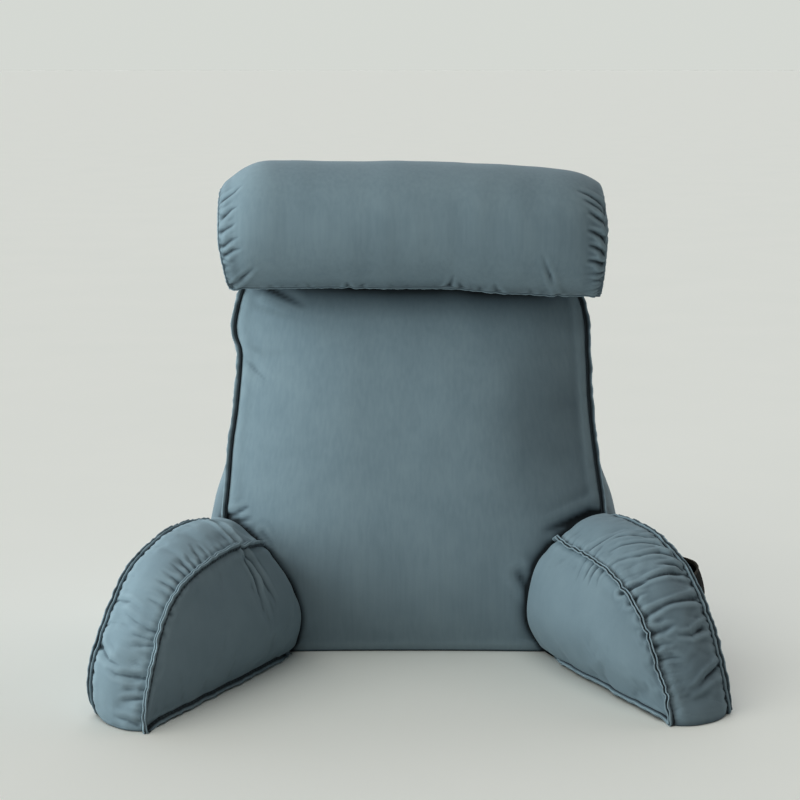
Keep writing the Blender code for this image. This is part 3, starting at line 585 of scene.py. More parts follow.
# Floor: pale matt studio paper, plain but for a faint unevenness
paperLook = {"base": "#eff4f1", "faded": "#f3f7f4", "roughness": 0.9, "specular": 0.2}
floorPaper = bpy.data.materials.new("pale matt studio paper")
floorPaper.use_nodes = True
paperTree = floorPaper.node_tree
paperPlace = addNode(paperTree, "ShaderNodeTexCoord").outputs["Object"]
paperShader = paperTree.nodes["Principled BSDF"]
paperTree.links.new(blend(paperTree, speckle(paperTree, paperPlace, 3.0, 2.0),
                          hexToLinear(paperLook["base"]), hexToLinear(paperLook["faded"])),
                    paperShader.inputs["Base Color"])
paperShader.inputs["Roughness"].default_value = paperLook["roughness"]
paperShader.inputs["Specular IOR Level"].default_value = paperLook["specular"]
floor = addPiece("floor", [(-90, -9, 0), (90, -9, 0), (90, 150, 0), (-90, 150, 0)],
                 [(0, 1, 2, 3)], floorPaper)
floor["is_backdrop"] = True
# the window lights the cushion alone, so the paper stays even instead of glaring beside it
windowReach = bpy.data.collections.new("window reach")
windowReach.objects.link(floor)
windowReach.collection_objects[0].light_linking.link_state = "EXCLUDE"
windowObject.light_linking.receiver_collection = windowReach
print("camera, light and floor placed")


# back cushion
backCushion = {
    "frontY": -0.140,
    "rearY": 0.140,
    "rearLean": 0.020,
    "frontLean": math.tan(math.radians(17.0)),
    "top": 0.550,
    "frontCrown": 0.044,
    "rearCrown": 0.014,
    "crownPower": 3.2,
    "baseBulge": 0.016,
    "baseBow": 0.010,
    "bowHeight": 0.035,
    "columns": 84,
    "denser": [(0.01, 0.22), (0.78, 0.92)],   # twice the columns where the arms meet it
    "rows": 70,
    "stripRows": 22,
    # height, left x, right x of the side seams
    "sideSeam": [
        (0.000, -0.260, 0.264), (0.090, -0.254, 0.260), (0.177, -0.247, 0.254),
        (0.215, -0.244, 0.249), (0.262, -0.241, 0.243), (0.320, -0.233, 0.238),
        (0.372, -0.229, 0.236), (0.388, -0.229, 0.235), (0.408, -0.237, 0.235),
        (0.436, -0.235, 0.232), (0.466, -0.227, 0.223), (0.500, -0.218, 0.211),
        (0.527, -0.202, 0.195),
    ],
    # x, height of the top seam
    "topSeam": [
        (-0.202, 0.527), (-0.170, 0.543), (-0.100, 0.549), (0.000, 0.550), (0.095, 0.548),
        (0.163, 0.542), (0.195, 0.527),
    ],
    # height, swell of the boxing strip
    "stripSwell": [
        (0.000, 0.014), (0.040, 0.026), (0.130, 0.029), (0.180, 0.022), (0.225, 0.010),
        (0.260, 0.004), (0.340, 0.004), (0.550, 0.011),
    ],
    "cloth": {"pressure": 2.5, "spare": 0.002, "cap": 0.006, "evened": 10},
    # tenths of a millimetre: half width, depth, then the points from the fold's deep end
    "folds": [
        (80, 18, (-2360, 60, 3860), (-2200, -280, 3720), (-2050, -430, 3590), (-1850, -560, 3420)),
        (90, 30, (-1980, -80, 4720), (-1700, -217, 4594), (-1400, -350, 4460)),
        (45, 40, (-1990, -1190, 1590), (-1883, -1241, 1481), (-1815, -1280, 1400)),
        (55, 50, (-2500, -850, 1740), (-2311, -934, 1803), (-2147, -982, 1908)),
        (55, 45, (-2480, -900, 1680), (-2300, -980, 1720), (-2100, -1050, 1760)),
        (100, 50, (2480, -900, 1780), (2161, -1055, 1721), (1700, -1260, 1610)),
        (80, 28, (1410, -1424, 1067), (1500, -1427, 865), (1530, -1444, 667)),
    ],
    "frontPuckers": {"spacing": 0.034, "slant": 0.8, "halfWidth": 0.0055, "reach": 0.012,
                     "depth": 0.0006, "contrast": 2.0},
    "stripPuckers": {"spacing": 0.024, "slant": 0.8, "halfWidth": 0.0062, "reach": 0.034,
                     "depth": 0.0026, "contrast": 1.3},
    "seamSwell": 0.0010,
    # places painted in shade: the boxing strip's corners in the arms' shade and the right of the
    # front panel; centre, radius, strength
    "shaded": [((-0.2700, -0.0500, 0.1750), 0.045, 1.10), ((0.2700, -0.0500, 0.1750), 0.045, 0.45),
               ((0.2000, -0.0600, 0.3000), 0.110, 0.60)],
}


def sideX(height, column):
    return fromTable(backCushion["sideSeam"], height, column)


def baseHalf():
    return 0.5 * (sideX(0.0, 2) - sideX(0.0, 1))


def frontCrown(x, z):
    b = backCushion
    half = np.where(x < 0, -sideX(z, 1), sideX(z, 2))
    sideways = 1.0 - np.clip(np.abs(x) / half, 0.0, 1.0) ** b["crownPower"]
    return b["frontCrown"] * sideways * dome(np.clip(z / b["top"], 0, 1), b["crownPower"])


def frontPlane(x, z):
    b = backCushion
    bow = b["baseBow"] * np.clip(1.0 - (x / baseHalf()) ** 2, 0.0, 1.0)
    return b["frontY"] + b["frontLean"] * z + bow * np.exp(-z / b["bowHeight"])


def buildBack():
    b = backCushion
    side = np.array(b["sideSeam"])
    shares = np.linspace(0.0, 1.0, b["rows"] + 1)
    fine = np.linspace(0.0, 1.0, 2001)
    density = 1.0 + sum(((fine > low) & (fine < high)) * 1.0 for low, high in b["denser"])
    grown = np.concatenate([[0.0], np.cumsum(0.5 * (density[1:] + density[:-1]))])
    columns = np.interp(np.linspace(0.0, 1.0, b["columns"] + 1), grown / grown[-1], fine)
    left = atShares(smoothCurve(side[:, [1, 0]]), shares)
    right = atShares(smoothCurve(side[:, [2, 0]]), shares)
    top = atShares(smoothCurve(b["topSeam"]), columns)
    bottom = left[0] + columns[:, None] * (right[0] - left[0])
    flat = filledPatch(bottom, top, left, right, columns, shares)
    x, z = flat[..., 0], flat[..., 1]
    front = np.stack([x, frontPlane(x, z) - frontCrown(x, z), z], axis=-1)
    order = borderOrder(*flat.shape[:2])
    for i, j in order:
        front[i, j, 1] = frontPlane(x[i, j], z[i, j])
    shareX = columns[:, None]
    shareZ = np.linspace(0.0, 1.0, flat.shape[1])[None, :]
    swell = b["rearCrown"] * dome(shareX, 2.4) * dome(shareZ, 2.4)
    rear = np.stack([x, b["rearY"] - b["rearLean"] * z + swell, z], axis=-1)
    ringFront, ringRear = alongBorder(front, order), alongBorder(rear, order)
    normal = outward(ringFront[:, [0, 2]])
    lift = fromTable(b["stripSwell"], ringFront[:, 2])
    onBase = ringFront[:, 2] < 1e-6
    strip = []
    for row in range(1, b["stripRows"]):
        share = row / b["stripRows"]
        ring = (1 - share) * ringFront + share * ringRear
        push = np.sign(ring[:, 0]) * b["baseBulge"] * (np.abs(ring[:, 0]) / baseHalf()) ** 4
        rounding = dome(share, 2.3)
        ring[:, 0] += np.where(onBase, push, normal[:, 0] * lift) * rounding
        ring[:, 2] += np.where(onBase, 0.0, normal[:, 1] * lift * rounding)
        strip.append(ring)
    return boxedCushion("backCushionCover", front, rear, strip, coverCotton)


# arms
armShape = {
    "stripWidth": 0.080,
    "shoulder": 0.84,
    "footRow": 0.03,
    "crownPower": 2.6,
    "innerFullness": 0.6,
    "tipSwell": 0.016,
    "stripSwell": 0.013,
    "columns": 56,
    "rows": 26,
    "stripRows": 14,
    "cloth": {"pressure": 3.5, "spare": 0.010, "cap": 0.007},
    "stripPuckers": {"spacing": 0.0125, "slant": 0.5, "halfWidth": 0.0034, "reach": 0.024,
                     "depth": 0.0015, "contrast": 1.0},
    "fineStripPuckers": {"spacing": 0.0075, "slant": 0.4, "halfWidth": 0.0022, "reach": 0.010,
                         "depth": 0.0011, "contrast": 0.8},
    "outerTucks": {"spacing": 0.0125, "slant": 0.3, "halfWidth": 0.0026, "reach": 0.006,
                   "depth": 0.0030, "contrast": 0.5},
    "panelPuckers": {"spacing": 0.026, "slant": 0.5, "halfWidth": 0.0024, "reach": 0.009,
                     "depth": 0.0006, "contrast": 2.0},
    "seamSwell": 0.0016,
    "rootGroove": (0.0085, 0.0065),     # depth and run of the groove where an arm meets the back
    "rootLimit": -0.22,                 # nothing further forward than this meets it
}

leftArm = {
    "side": -1.0,
    "root": (-0.167, -0.149),
    "splay": math.radians(25.6),
    "innerCrown": 0.031,
    "outerCrown": 0.021,
    # along the arm, height of the seam
    "innerSeam": [
        (-0.070, 0.120), (-0.012, 0.138), (0.010, 0.143), (0.042, 0.158), (0.101, 0.167),
        (0.138, 0.171), (0.175, 0.168), (0.215, 0.162), (0.257, 0.148), (0.288, 0.124),
        (0.308, 0.094), (0.328, 0.050), (0.341, 0.016), (0.344, 0.000),
    ],
    "outerSeam": [
        (-0.070, 0.138), (-0.020, 0.162), (0.020, 0.175), (0.065, 0.186), (0.102, 0.190),
        (0.149, 0.189), (0.196, 0.180), (0.235, 0.164), (0.266, 0.140), (0.292, 0.111),
        (0.311, 0.085), (0.325, 0.058), (0.327, 0.032), (0.320, 0.010), (0.314, 0.000),
    ],
    # along the arm, outward shift of the top seams near the root
    "rootShift": [(-0.070, 0.041), (-0.012, 0.041), (0.010, 0.030), (0.042, 0.006),
                  (0.070, 0.000), (0.400, 0.000)],
    # the root crease runs over the top, across the seam and down the inner panel
    "creases": [
        (58, 140, (-2479, -2153, 1960), (-2323, -2364, 1880), (-2202, -2487, 1742),
         (-2091, -2483, 1599), (-1969, -2466, 1401), (-1824, -2417, 1128), (-1740, -2350, 900)),
        (50, -60, (-2060, -2530, 1480), (-1960, -2520, 1260), (-1850, -2520, 1000),
         (-1790, -2480, 760)),
        (50, 78, (-2110, -2569, 1570), (-1999, -2575, 1364), (-1935, -2630, 1159),
         (-1864, -2624, 899)),
    ],
    # places where the skin stands fuller, or lies lower: centre, radius, height
    "lobes": [
        ((-0.1650, -0.1900, 0.1050), 0.036, 0.0060),
        ((-0.1600, -0.1650, 0.0600), 0.042, 0.0065),
        ((-0.2100, -0.1800, 0.1790), 0.030, -0.0110),
    ],
    # folds across the boxing strip and on the panel
    "folds": [
        (60, 22, (-2004, -2713, 1233), (-1886, -2647, 957), (-1777, -2447, 589)),
        (46, 36, (-3574, -3614, 1323), (-3372, -3858, 1364), (-3239, -3983, 1313),
         (-3112, -4058, 1260), (-2977, -4114, 1191)),
        (46, 30, (-2960, -4215, 1070), (-3111, -4186, 1114), (-3271, -4117, 1191),
         (-3434, -3947, 1266)),
        (48, 30, (-3040, -4278, 948), (-3092, -4278, 946), (-3308, -4240, 935),
         (-3499, -4134, 965)),
        (52, 52, (-3729, -3949, 861), (-3607, -4234, 775), (-3475, -4343, 735),
         (-3364, -4387, 724)),
        (50, 46, (-3150, -4443, 596), (-3290, -4434, 617), (-3486, -4363, 631),
         (-3616, -4267, 687)),
        (52, 48, (-3190, -4587, 60), (-3341, -4568, 126), (-3530, -4465, 153)),
        (48, 26, (-3190, -4502, 372), (-3309, -4508, 361), (-3466, -4478, 339)),
        (36, 28, (-2840, -3940, 1390), (-3052, -3831, 1492), (-3200, -3782, 1541)),
        (34, 26, (-2800, -3840, 1470), (-2984, -3779, 1577), (-3126, -3690, 1615)),
        (36, 32, (-2760, -3740, 1530), (-2910, -3687, 1651), (-3038, -3606, 1717)),
        (32, 24, (-2710, -3610, 1580), (-2828, -3551, 1678), (-2932, -3471, 1757)),
        (34, 32, (-2650, -3510, 1600), (-2768, -3433, 1710), (-2850, -3333, 1797)),
        (32, 26, (-2600, -3410, 1630), (-2704, -3340, 1749), (-2777, -3214, 1842)),
        (36, 26, (-2560, -3290, 1670), (-2664, -3127, 1796), (-2738, -2990, 1876)),
        (32, 20, (-2480, -3130, 1690), (-2590, -3006, 1817), (-2659, -2917, 1884)),
        (36, 30, (-2870, -4050, 1270), (-3047, -3990, 1388), (-3171, -3936, 1447)),
        (36, 22, (-3030, -4255, 1000), (-3188, -4246, 1046), (-3337, -4178, 1075)),
        (36, 24, (-3070, -4310, 840), (-3234, -4282, 862), (-3354, -4261, 868)),
        (40, 26, (-3150, -4460, 466), (-3338, -4447, 463), (-3481, -4433, 434)),
    ],
}

rightArm = {
    "side": 1.0,
    "root": (0.180, -0.140),
    "splay": math.radians(23.0),
    "innerCrown": 0.038,
    "outerCrown": 0.021,
    "innerSeam": [
        (-0.070, 0.128), (-0.020, 0.143), (0.019, 0.155), (0.070, 0.156), (0.117, 0.154),
        (0.151, 0.150), (0.202, 0.134), (0.240, 0.112), (0.266, 0.086), (0.290, 0.053),
        (0.311, 0.024), (0.321, 0.010), (0.324, 0.000),
    ],
    "outerSeam": [
        (-0.070, 0.146), (-0.024, 0.169), (0.017, 0.180), (0.057, 0.185), (0.096, 0.184),
        (0.134, 0.181), (0.167, 0.173), (0.197, 0.161), (0.225, 0.142), (0.250, 0.119),
        (0.271, 0.093), (0.291, 0.061), (0.305, 0.029), (0.312, 0.009), (0.311, 0.000),
    ],
    "rootShift": [(-0.070, 0.020), (-0.020, 0.020), (0.010, 0.012), (0.040, 0.000),
                  (0.400, 0.000)],
    "creases": [],
    "lobes": [((0.1740, -0.1520, 0.1220), 0.036, 0.0080)],
    # places on the boxing strip painted in shade: centre, radius, strength
    "shaded": [((0.3150, -0.3450, 0.1250), 0.075, 0.55), ((0.3350, -0.4100, 0.0400), 0.060, 0.50)],
    "folds": [
        (40, 37, (2250, -2310, 1620), (2432, -2311, 1764), (2598, -2284, 1848),
         (2753, -2242, 1890)),
        (44, 61, (3239, -2743, 1685), (3103, -2493, 1782), (2919, -2451, 1823),
         (2601, -2376, 1805), (2363, -2390, 1653)),
        (40, 51, (3280, -2820, 1650), (3058, -2653, 1794), (2836, -2629, 1814),
         (2616, -2595, 1755), (2433, -2575, 1647)),
        (44, 70, (3303, -2894, 1613), (3060, -2848, 1715), (2809, -2888, 1674),
         (2571, -2815, 1592), (2434, -2832, 1507)),
        (40, 63, (3310, -3056, 1560), (3219, -3058, 1628), (3080, -3085, 1660),
         (2968, -3102, 1651)),
        (44, 57, (3340, -3110, 1510), (3138, -3216, 1567), (2937, -3270, 1531),
         (2624, -3272, 1356)),
        (38, 63, (2560, -3269, 1310), (2705, -3297, 1400), (2874, -3302, 1476)),
        (38, 51, (2650, -3445, 1230), (2755, -3405, 1304), (2876, -3401, 1365)),
        (46, 63, (2780, -3640, 1100), (2974, -3609, 1222), (3173, -3547, 1305)),
        (48, 55, (3452, -3378, 1271), (3223, -3539, 1302), (2999, -3600, 1244)),
        (46, 49, (2810, -3790, 940), (2976, -3818, 1008), (3171, -3776, 1095)),
        (48, 70, (3540, -3640, 1020), (3514, -3658, 1000), (3337, -3813, 945), (3151, -3858, 958)),
        (40, 37, (2860, -3890, 810), (3007, -3885, 855), (3126, -3880, 865)),
        (46, 37, (2900, -3990, 680), (3077, -4002, 729), (3217, -4020, 735)),
        (50, 79, (3680, -3850, 560), (3650, -3868, 552), (3504, -4052, 498), (3363, -4139, 390),
         (3200, -4230, 300)),
        # gathers at the top of the inner panel
        (36, 30, (2300, -2572, 1520), (2195, -2613, 1400), (2130, -2664, 1284)),
        (36, 34, (2340, -2671, 1510), (2236, -2723, 1377), (2181, -2796, 1255)),
        (34, 26, (2390, -2792, 1490), (2310, -2856, 1373), (2279, -2931, 1278)),
        (44, 18, (2210, -2409, 1520), (2108, -2476, 1377), (2052, -2565, 1245)),
    ],
}


def armAxes(arm):
    side, splay = arm["side"], arm["splay"]
    along = np.array((side * math.sin(splay), -math.cos(splay), 0.0))
    across = np.array((side * math.cos(splay), math.sin(splay), 0.0))
    return np.array((arm["root"][0], arm["root"][1], 0.0)), along, across


def armPatch(seam):
    a = armShape
    curve = smoothCurve(seam)
    length = lengths(curve)
    shoulder = np.interp(a["shoulder"] * curve[-1, 0], curve[:, 0], length) / length[-1]
    shares = np.linspace(0.0, shoulder, a["columns"] + 1)
    footShare = 1.0 - (1.0 - shoulder) * a["footRow"]
    tipShares = np.concatenate([[1.0], np.linspace(footShare, shoulder, a["rows"])])
    top, tip = atShares(curve, shares), atShares(curve, tipShares)
    up = (tipShares - tipShares[0]) / (tipShares[-1] - tipShares[0])
    left = np.stack([np.full(len(tip), top[0, 0]), up * top[0, 1]], axis=1)
    run = (top[:, 0] - top[0, 0]) / (top[-1, 0] - top[0, 0])
    bottom = np.stack([top[0, 0] + run * (tip[0, 0] - top[0, 0]), np.zeros(len(run))], axis=1)
    return filledPatch(bottom, top, left, tip, run, up), up[None, :]


def armFoot(share):
    rise = np.clip((share - armShape["footRow"]) / (1.0 - armShape["footRow"]), 0.0, 1.0)
    return np.sin(math.pi * rise ** 0.82) ** 0.9


def buildArm(name, arm):
    a = armShape
    root, along, across = armAxes(arm)
    inner, innerUp = armPatch(arm["innerSeam"])
    outer, outerUp = armPatch(arm["outerSeam"])
    order = borderOrder(*inner.shape[:2])
    share = np.linspace(0.0, 1.0, inner.shape[0])[:, None]

    def placed(flat, sideways):
        return (root + flat[..., 0:1] * along + sideways[..., None] * across
                + flat[..., 1:2] * np.array((0.0, 0.0, 1.0)))

    def shifted(flat):
        return fromTable(arm["rootShift"], flat[..., 0]) * flat[..., 1] / flat[:, -1:, 1]

    innerSwell = (arm["innerCrown"] * dome(share ** a["innerFullness"], a["crownPower"])
                  * armFoot(innerUp))
    outerSwell = arm["outerCrown"] * dome(share, a["crownPower"]) * armFoot(outerUp)
    innerGrid = placed(inner, shifted(inner) - innerSwell)
    outerGrid = placed(outer, a["stripWidth"] + shifted(outer) + outerSwell)
    ringInner, ringOuter, flatInner, flatOuter = (
        alongBorder(grid, order) for grid in (innerGrid, outerGrid, inner, outer))
    normalInner, normalOuter = outward(flatInner), outward(flatOuter)
    onBase = flatInner[:, 1] < 1e-6
    tipRun = np.clip(flatInner[:, 0] / flatInner[:, 0].max(), 0.0, 1.0) ** 8
    strip = []
    for row in range(1, a["stripRows"]):
        t = row / a["stripRows"]
        ring = (1 - t) * ringInner + t * ringOuter
        normal = (1 - t) * normalInner + t * normalOuter
        rounding = dome(t, 2.4)
        low = np.clip(ring[:, 2] / 0.03, 0.0, 1.0)
        lift = np.where(onBase, 0.0, a["stripSwell"] * rounding * low)
        ring += normal[:, 0:1] * lift[:, None] * along
        ring[:, 2] += normal[:, 1] * lift
        ring += (a["tipSwell"] * rounding * tipRun * (1.0 - low))[:, None] * along
        ring[:, 2] = np.where(onBase, 0.0, np.maximum(ring[:, 2], 0.0))
        strip.append(ring)
    item, innerRing, outerRing = boxedCushion(name, innerGrid, outerGrid, strip, armCotton)
    return item, innerRing, outerRing, order


# head bolster
headBolster = {
    "centre": (0.0015, -0.060, 0.5575),
    "radius": 0.0805,
    "endDrop": (0.0195, 0.0150),      # left and right end: how far their centres sink
    "halfLength": 0.2500,
    "rightTrim": 0.0045,
    "rounding": (0.074, 0.076),
    "endCrown": 0.003,
    # along the bolster, how far its top is raised and its underside lowered
    "raised": [(-0.260, 0.0), (-0.190, 0.0), (-0.080, 0.0020), (-0.016, 0.0038), (0.080, 0.0040),
               (0.115, 0.0030), (0.180, 0.0), (0.260, 0.0)],
    "lowered": [(-0.260, 0.0080), (-0.190, 0.0065), (-0.140, 0.0030), (-0.080, 0.0012),
                (0.000, 0.0), (0.050, -0.0008), (0.100, 0.0020), (0.180, 0.0045), (0.260, 0.0045)],
    "rake": (0.010, 0.001),
    "tilt": math.radians(1.6),
    "around": 64,
    "bodyStations": 40,
    "roundingStations": 10,
    "endRings": 7,
    "lowerSeamAngle": -79.0,
    "puckerAngle": -72.0,             # its puckers start a little above it
    "seamInset": (0.008, 0.006),      # of the lower seam's ends from the bolster's
    "contactHeight": 0.580,
    "clearance": 0.0010,
    "cloth": {"pressure": 3.0, "spare": 0.008, "cap": 0.003},
    "folds": [
        (48, 50, (-2370, -760, 4840), (-2180, -1074, 5019), (-2013, -1207, 5162)),
        (42, 40, (1940, -680, 4705), (1777, -1226, 5009), (1660, -1390, 5280)),
        (45, 30, (-828, -694, 4792), (-846, -1011, 4908)),
        (40, 30, (483, -860, 4790), (540, -1190, 4992)),
        (50, 24, (1114, -800, 4740), (1075, -1094, 4891)),
        (42, 60, (2480, -1140, 5790), (2400, -1150, 5930), (2284, -1155, 6027),
         (2090, -1156, 6094)),
        (42, 68, (2490, -1180, 5650), (2430, -1190, 5790), (2340, -1202, 5880),
         (2180, -1204, 5962)),
        (40, 62, (2490, -1220, 5530), (2430, -1240, 5650), (2350, -1260, 5730),
         (2230, -1265, 5803)),
        (40, 60, (2490, -1270, 5400), (2420, -1310, 5490), (2330, -1340, 5550),
         (2224, -1372, 5591)),
        (38, 48, (2480, -1290, 5260), (2410, -1320, 5330), (2330, -1345, 5372),
         (2240, -1372, 5401)),
        (40, 48, (2480, -1290, 5130), (2356, -1314, 5182), (2231, -1338, 5207)),
        (36, 34, (-2470, -1115, 5960), (-2313, -1168, 6085), (-2172, -1144, 6186)),
        (36, 34, (-2450, -1260, 5750), (-2331, -1296, 5863), (-2226, -1323, 5904)),
        (34, 30, (-2450, -1280, 5560), (-2330, -1347, 5637), (-2251, -1370, 5690)),
        (36, 30, (-2430, -1290, 5370), (-2320, -1346, 5458), (-2201, -1381, 5512)),
        (36, 34, (-2410, -1240, 5255), (-2298, -1317, 5327), (-2167, -1353, 5369)),
    ],
    # a place near the right end painted in shade: centre, radius, strength
    "shaded": [((0.2050, -0.1250, 0.5500), 0.060, 0.45)],
    "endPuckers": {"spacing": 0.0085, "slant": 0.8, "halfWidth": 0.0021, "reach": 0.011,
                   "depth": 0.0013, "contrast": 1.0},
    "rightPuckers": {"spacing": 0.0090, "slant": 0.9, "halfWidth": 0.0023, "reach": 0.013,
                     "depth": 0.0019, "contrast": 1.0},
    "seamPuckers": {"spacing": 0.0180, "slant": 0.8, "halfWidth": 0.0030, "reach": 0.010,
                    "depth": 0.0017, "contrast": 1.3},
    "endSwell": 0.0014,
}


def buildBolster():
    b = headBolster
    cx, cy, cz = b["centre"]
    angles = 2.0 * math.pi * np.arange(b["around"]) / b["around"]
    leftBody, rightBody = (b["halfLength"] - r for r in b["rounding"])

    def section(x, side, share, ringShare):
        # side 0 is the left end and 1 the right; share runs from the body to the end's seam
        sunk = share ** 2.6 if side == 0 else 1.0 - math.sqrt(max(0.0, 1.0 - share * share))
        drop = b["endDrop"][side] * sunk
        top = b["radius"] - 2.0 * drop + fromTable(b["raised"], x)
        foot = b["radius"] + fromTable(b["lowered"], x)
        r, middle = 0.5 * (top + foot), 0.5 * (top - foot)
        r *= ringShare
        inward = b["rake"][side] * share ** 3 * np.maximum(0.0, -np.sin(angles)) * ringShare
        px = x + inward * (1.0 if side == 0 else -1.0)
        z = cz + middle - px * math.tan(b["tilt"]) + r * np.sin(angles)
        return np.stack([cx + px, cy - r * np.cos(angles), z], axis=1)

    count = b["roundingStations"]
    ends = [math.sin(0.5 * math.pi * k / count) for k in range(1, count + 1)]
    inner = [k / b["endRings"] for k in range(1, b["endRings"])]
    swell = [b["endCrown"] * (1.0 - s ** 2.2) for s in inner]
    rings = [section(-b["halfLength"] - w, 0, 1.0, s) for s, w in zip(inner, swell)]
    rings += [section(-leftBody - b["rounding"][0] * s, 0, s, 1.0) for s in reversed(ends)]
    rings += [section(-leftBody + (leftBody + rightBody) * k / b["bodyStations"],
                      0 if 2 * k < b["bodyStations"] else 1, 0.0, 1.0)
              for k in range(b["bodyStations"] + 1)]
    trim = b["rightTrim"]
    rings += [section(rightBody + (b["rounding"][1] - trim) * s, 1, s, 1.0) for s in ends]
    rings += [section(b["halfLength"] - trim + w, 1, 1.0, s)
              for s, w in zip(reversed(inner), reversed(swell))]
    around = b["around"]
    vertices = list(np.concatenate(rings))
    faces = tubeFaces(len(rings), around, "open")
    for row, ring in ((0, rings[0]), (len(rings) - 1, rings[-1])):
        vertices.append(ring.mean(axis=0))
        faces += [(row * around + k, row * around + (k + 1) % around, len(vertices) - 1)
                  for k in range(around)]
    item = addPiece("headBolsterCover", vertices, faces, bolsterCotton)
    leftRing, rightRing = (list(range(row * around, (row + 1) * around))
                           for row in (len(inner), len(rings) - 1 - len(inner)))
    creaseSeams(item, (leftRing, rightRing), 0.6)
    return item, leftRing, rightRing


backItem, backFront, backRear = buildBack()
leftItem, leftInner, leftOuter, armOrder = buildArm("leftArmCover", leftArm)
rightItem, rightInner, rightOuter, _ = buildArm("rightArmCover", rightArm)
bolsterItem, bolsterLeft, bolsterRight = buildBolster()
print("cushions laid out:", [len(o.data.vertices)
                             for o in (backItem, leftItem, rightItem, bolsterItem)])


# filling: the covers swell under pressure, held at their seams and on the ground
fillingSteps = 20
groundBand = 0.0005       # points lower than this are on the ground
leastHeight = 0.0004      # of all others
fillingCloth = {
    "quality": 5, "mass": 0.25, "air_damping": 2.0,
    "tension_stiffness": 20.0, "compression_stiffness": 20.0,
    "shear_stiffness": 8.0, "bending_stiffness": 0.6,
    "tension_damping": 10.0, "compression_damping": 10.0,
    "shear_damping": 8.0, "bending_damping": 0.8, "use_pressure": True,
}


def onGround(points):
    return points[:, 2] < groundBand


def keepGrounded(points, start):
    # Points on the ground stay there, and the others stay above it
    points[:, 2] = np.where(onGround(start), start[:, 2], np.maximum(points[:, 2], leastHeight))
    return points


def addFilling(item, look, pinned):
    pins = item.vertex_groups.new(name="pinned")
    pins.add([int(k) for k in pinned], 1.0, "REPLACE")
    cloth = item.modifiers.new("filling", "CLOTH")
    for key, value in fillingCloth.items():
        setattr(cloth.settings, key, value)
    cloth.settings.uniform_pressure_force = look["pressure"]
    cloth.settings.shrink_min = -look["spare"]
    cloth.settings.vertex_group_mass = "pinned"
    cloth.settings.effector_weights.gravity = 0.0
    cloth.collision_settings.use_collision = False
    cloth.point_cache.frame_start = 1
    cloth.point_cache.frame_end = fillingSteps


def takeFilling(item, look, start):
    view = item.evaluated_get(bpy.context.evaluated_depsgraph_get())
    moved = meshPoints(view.data) - start
    size = np.linalg.norm(moved, axis=1)[:, None]
    cap = look["cap"]
    moved *= cap * np.tanh(size / cap) / np.maximum(size, 1e-9)
    if look.get("evened"):
        held = (size[:, 0] < 1e-7)[:, None]
        moved = np.where(held, 0.0, softened(item.data, moved, look["evened"]))
    item.modifiers.clear()
    setPoints(item.data, keepGrounded(start + moved, start))


filled = [
    (backItem, backCushion["cloth"], backFront + backRear),
    (leftItem, armShape["cloth"], leftInner + leftOuter),
    (rightItem, armShape["cloth"], rightInner + rightOuter),
    (bolsterItem, headBolster["cloth"], bolsterLeft + bolsterRight),
]
starts = []
for item, look, seams in filled:
    points = meshPoints(item.data)
    starts.append(points)
    addFilling(item, look, set(seams) | set(np.where(onGround(points))[0]))
for step in range(1, fillingSteps + 1):
    scene.frame_set(step)
for (item, look, _), start in zip(filled, starts):
    takeFilling(item, look, start)
scene.frame_set(1)
print("covers filled")

for item, _, _ in filled:
    smoother = item.modifiers.new("finer", "SUBSURF")
    smoother.levels = smoother.render_levels = 1 if item is backItem else 2
    applyModifiers(item)


def ringPath(item, ring):
    return meshPoints(item.data)[ring], meshNormals(item.data)[ring]


def stripMask(item):
    index = item.vertex_groups["strip"].index
    weights = np.zeros(len(item.data.vertices))
    for k, vertex in enumerate(item.data.vertices):
        for group in vertex.groups:
            if group.group == index:
                weights[k] = group.weight
    return weights


stitching = {
    "line": 0.0019,          # half width of the painted dark line of shade along the stitching
    "foldClear": 0.004,      # folds fade out this close to it
    "swellAt": 0.010,        # the cloth swells up at this distance
    "swellRun": 0.0075,
    "puckerReach": 0.075,
}


def dress(item, folds, seams, soft, creases=(), lobes=(), shade=(0.0, 0.01)):
    # Listed folds, puckers along the seams and a soft unevenness, along the skin's normal.
    # Folds stop at the stitching and creases run over it.  A seam is a path, sets of puckers,
    # where they are on the skin, and the swell beside the stitching.
    # The stitching gets a painted dark line of shade, and with shade given the skin beside each
    # seam is painted in shade too.
    mesh = item.data
    points, normals = meshPoints(mesh), meshNormals(mesh)
    shift = foldShift(points, folds)
    line = np.zeros(len(points))
    for path in {id(row[0]): row[0] for row in seams}.values():
        away = seamPlaces(points, path, max(0.012, 2.2 * shade[1]))[1]
        shift *= np.clip(away / stitching["foldClear"], 0.25, 1.0)
        line = np.maximum(line, np.exp(-(away / stitching["line"]) ** 2))
        line = np.maximum(line, shade[0] * np.exp(-(away / shade[1]) ** 2))
    storeValues(mesh, "seamLine", line)
    shift += foldShift(points, creases)
    for centre, radius, height in lobes:
        shift -= height * nearTo(points, centre, radius)
    for path, rowSets, mask, swell in seams:
        along, away = seamPlaces(points, path, stitching["puckerReach"])
        for rows in rowSets:
            shift += puckerShift(along, away, rows) * mask
        beside = np.exp(-((away - stitching["swellAt"]) / stitching["swellRun"]) ** 2)
        shift -= swell * beside * (away < 0.07)
    for size, depth, seed in soft:
        shift += depth * smoothNoise(points, size, seed)
    shift *= np.clip((points[:, 2] - 0.001) / 0.012, 0.0, 1.0)
    setPoints(mesh, keepGrounded(points - normals * shift[:, None], points))


def laidOn(tree, folds):
    # The same folds with their points on a skin
    return [(np.array([tuple(tree.find_nearest(Vector(p))[0]) for p in line]), wide, deep)
            for line, wide, deep in folds]


def skinOf(item):
    body = bmesh.new()
    body.from_mesh(item.data)
    tree = BVHTree.FromBMesh(body)
    body.free()
    return tree


def closed(path):
    return np.concatenate([path, path[:1]])


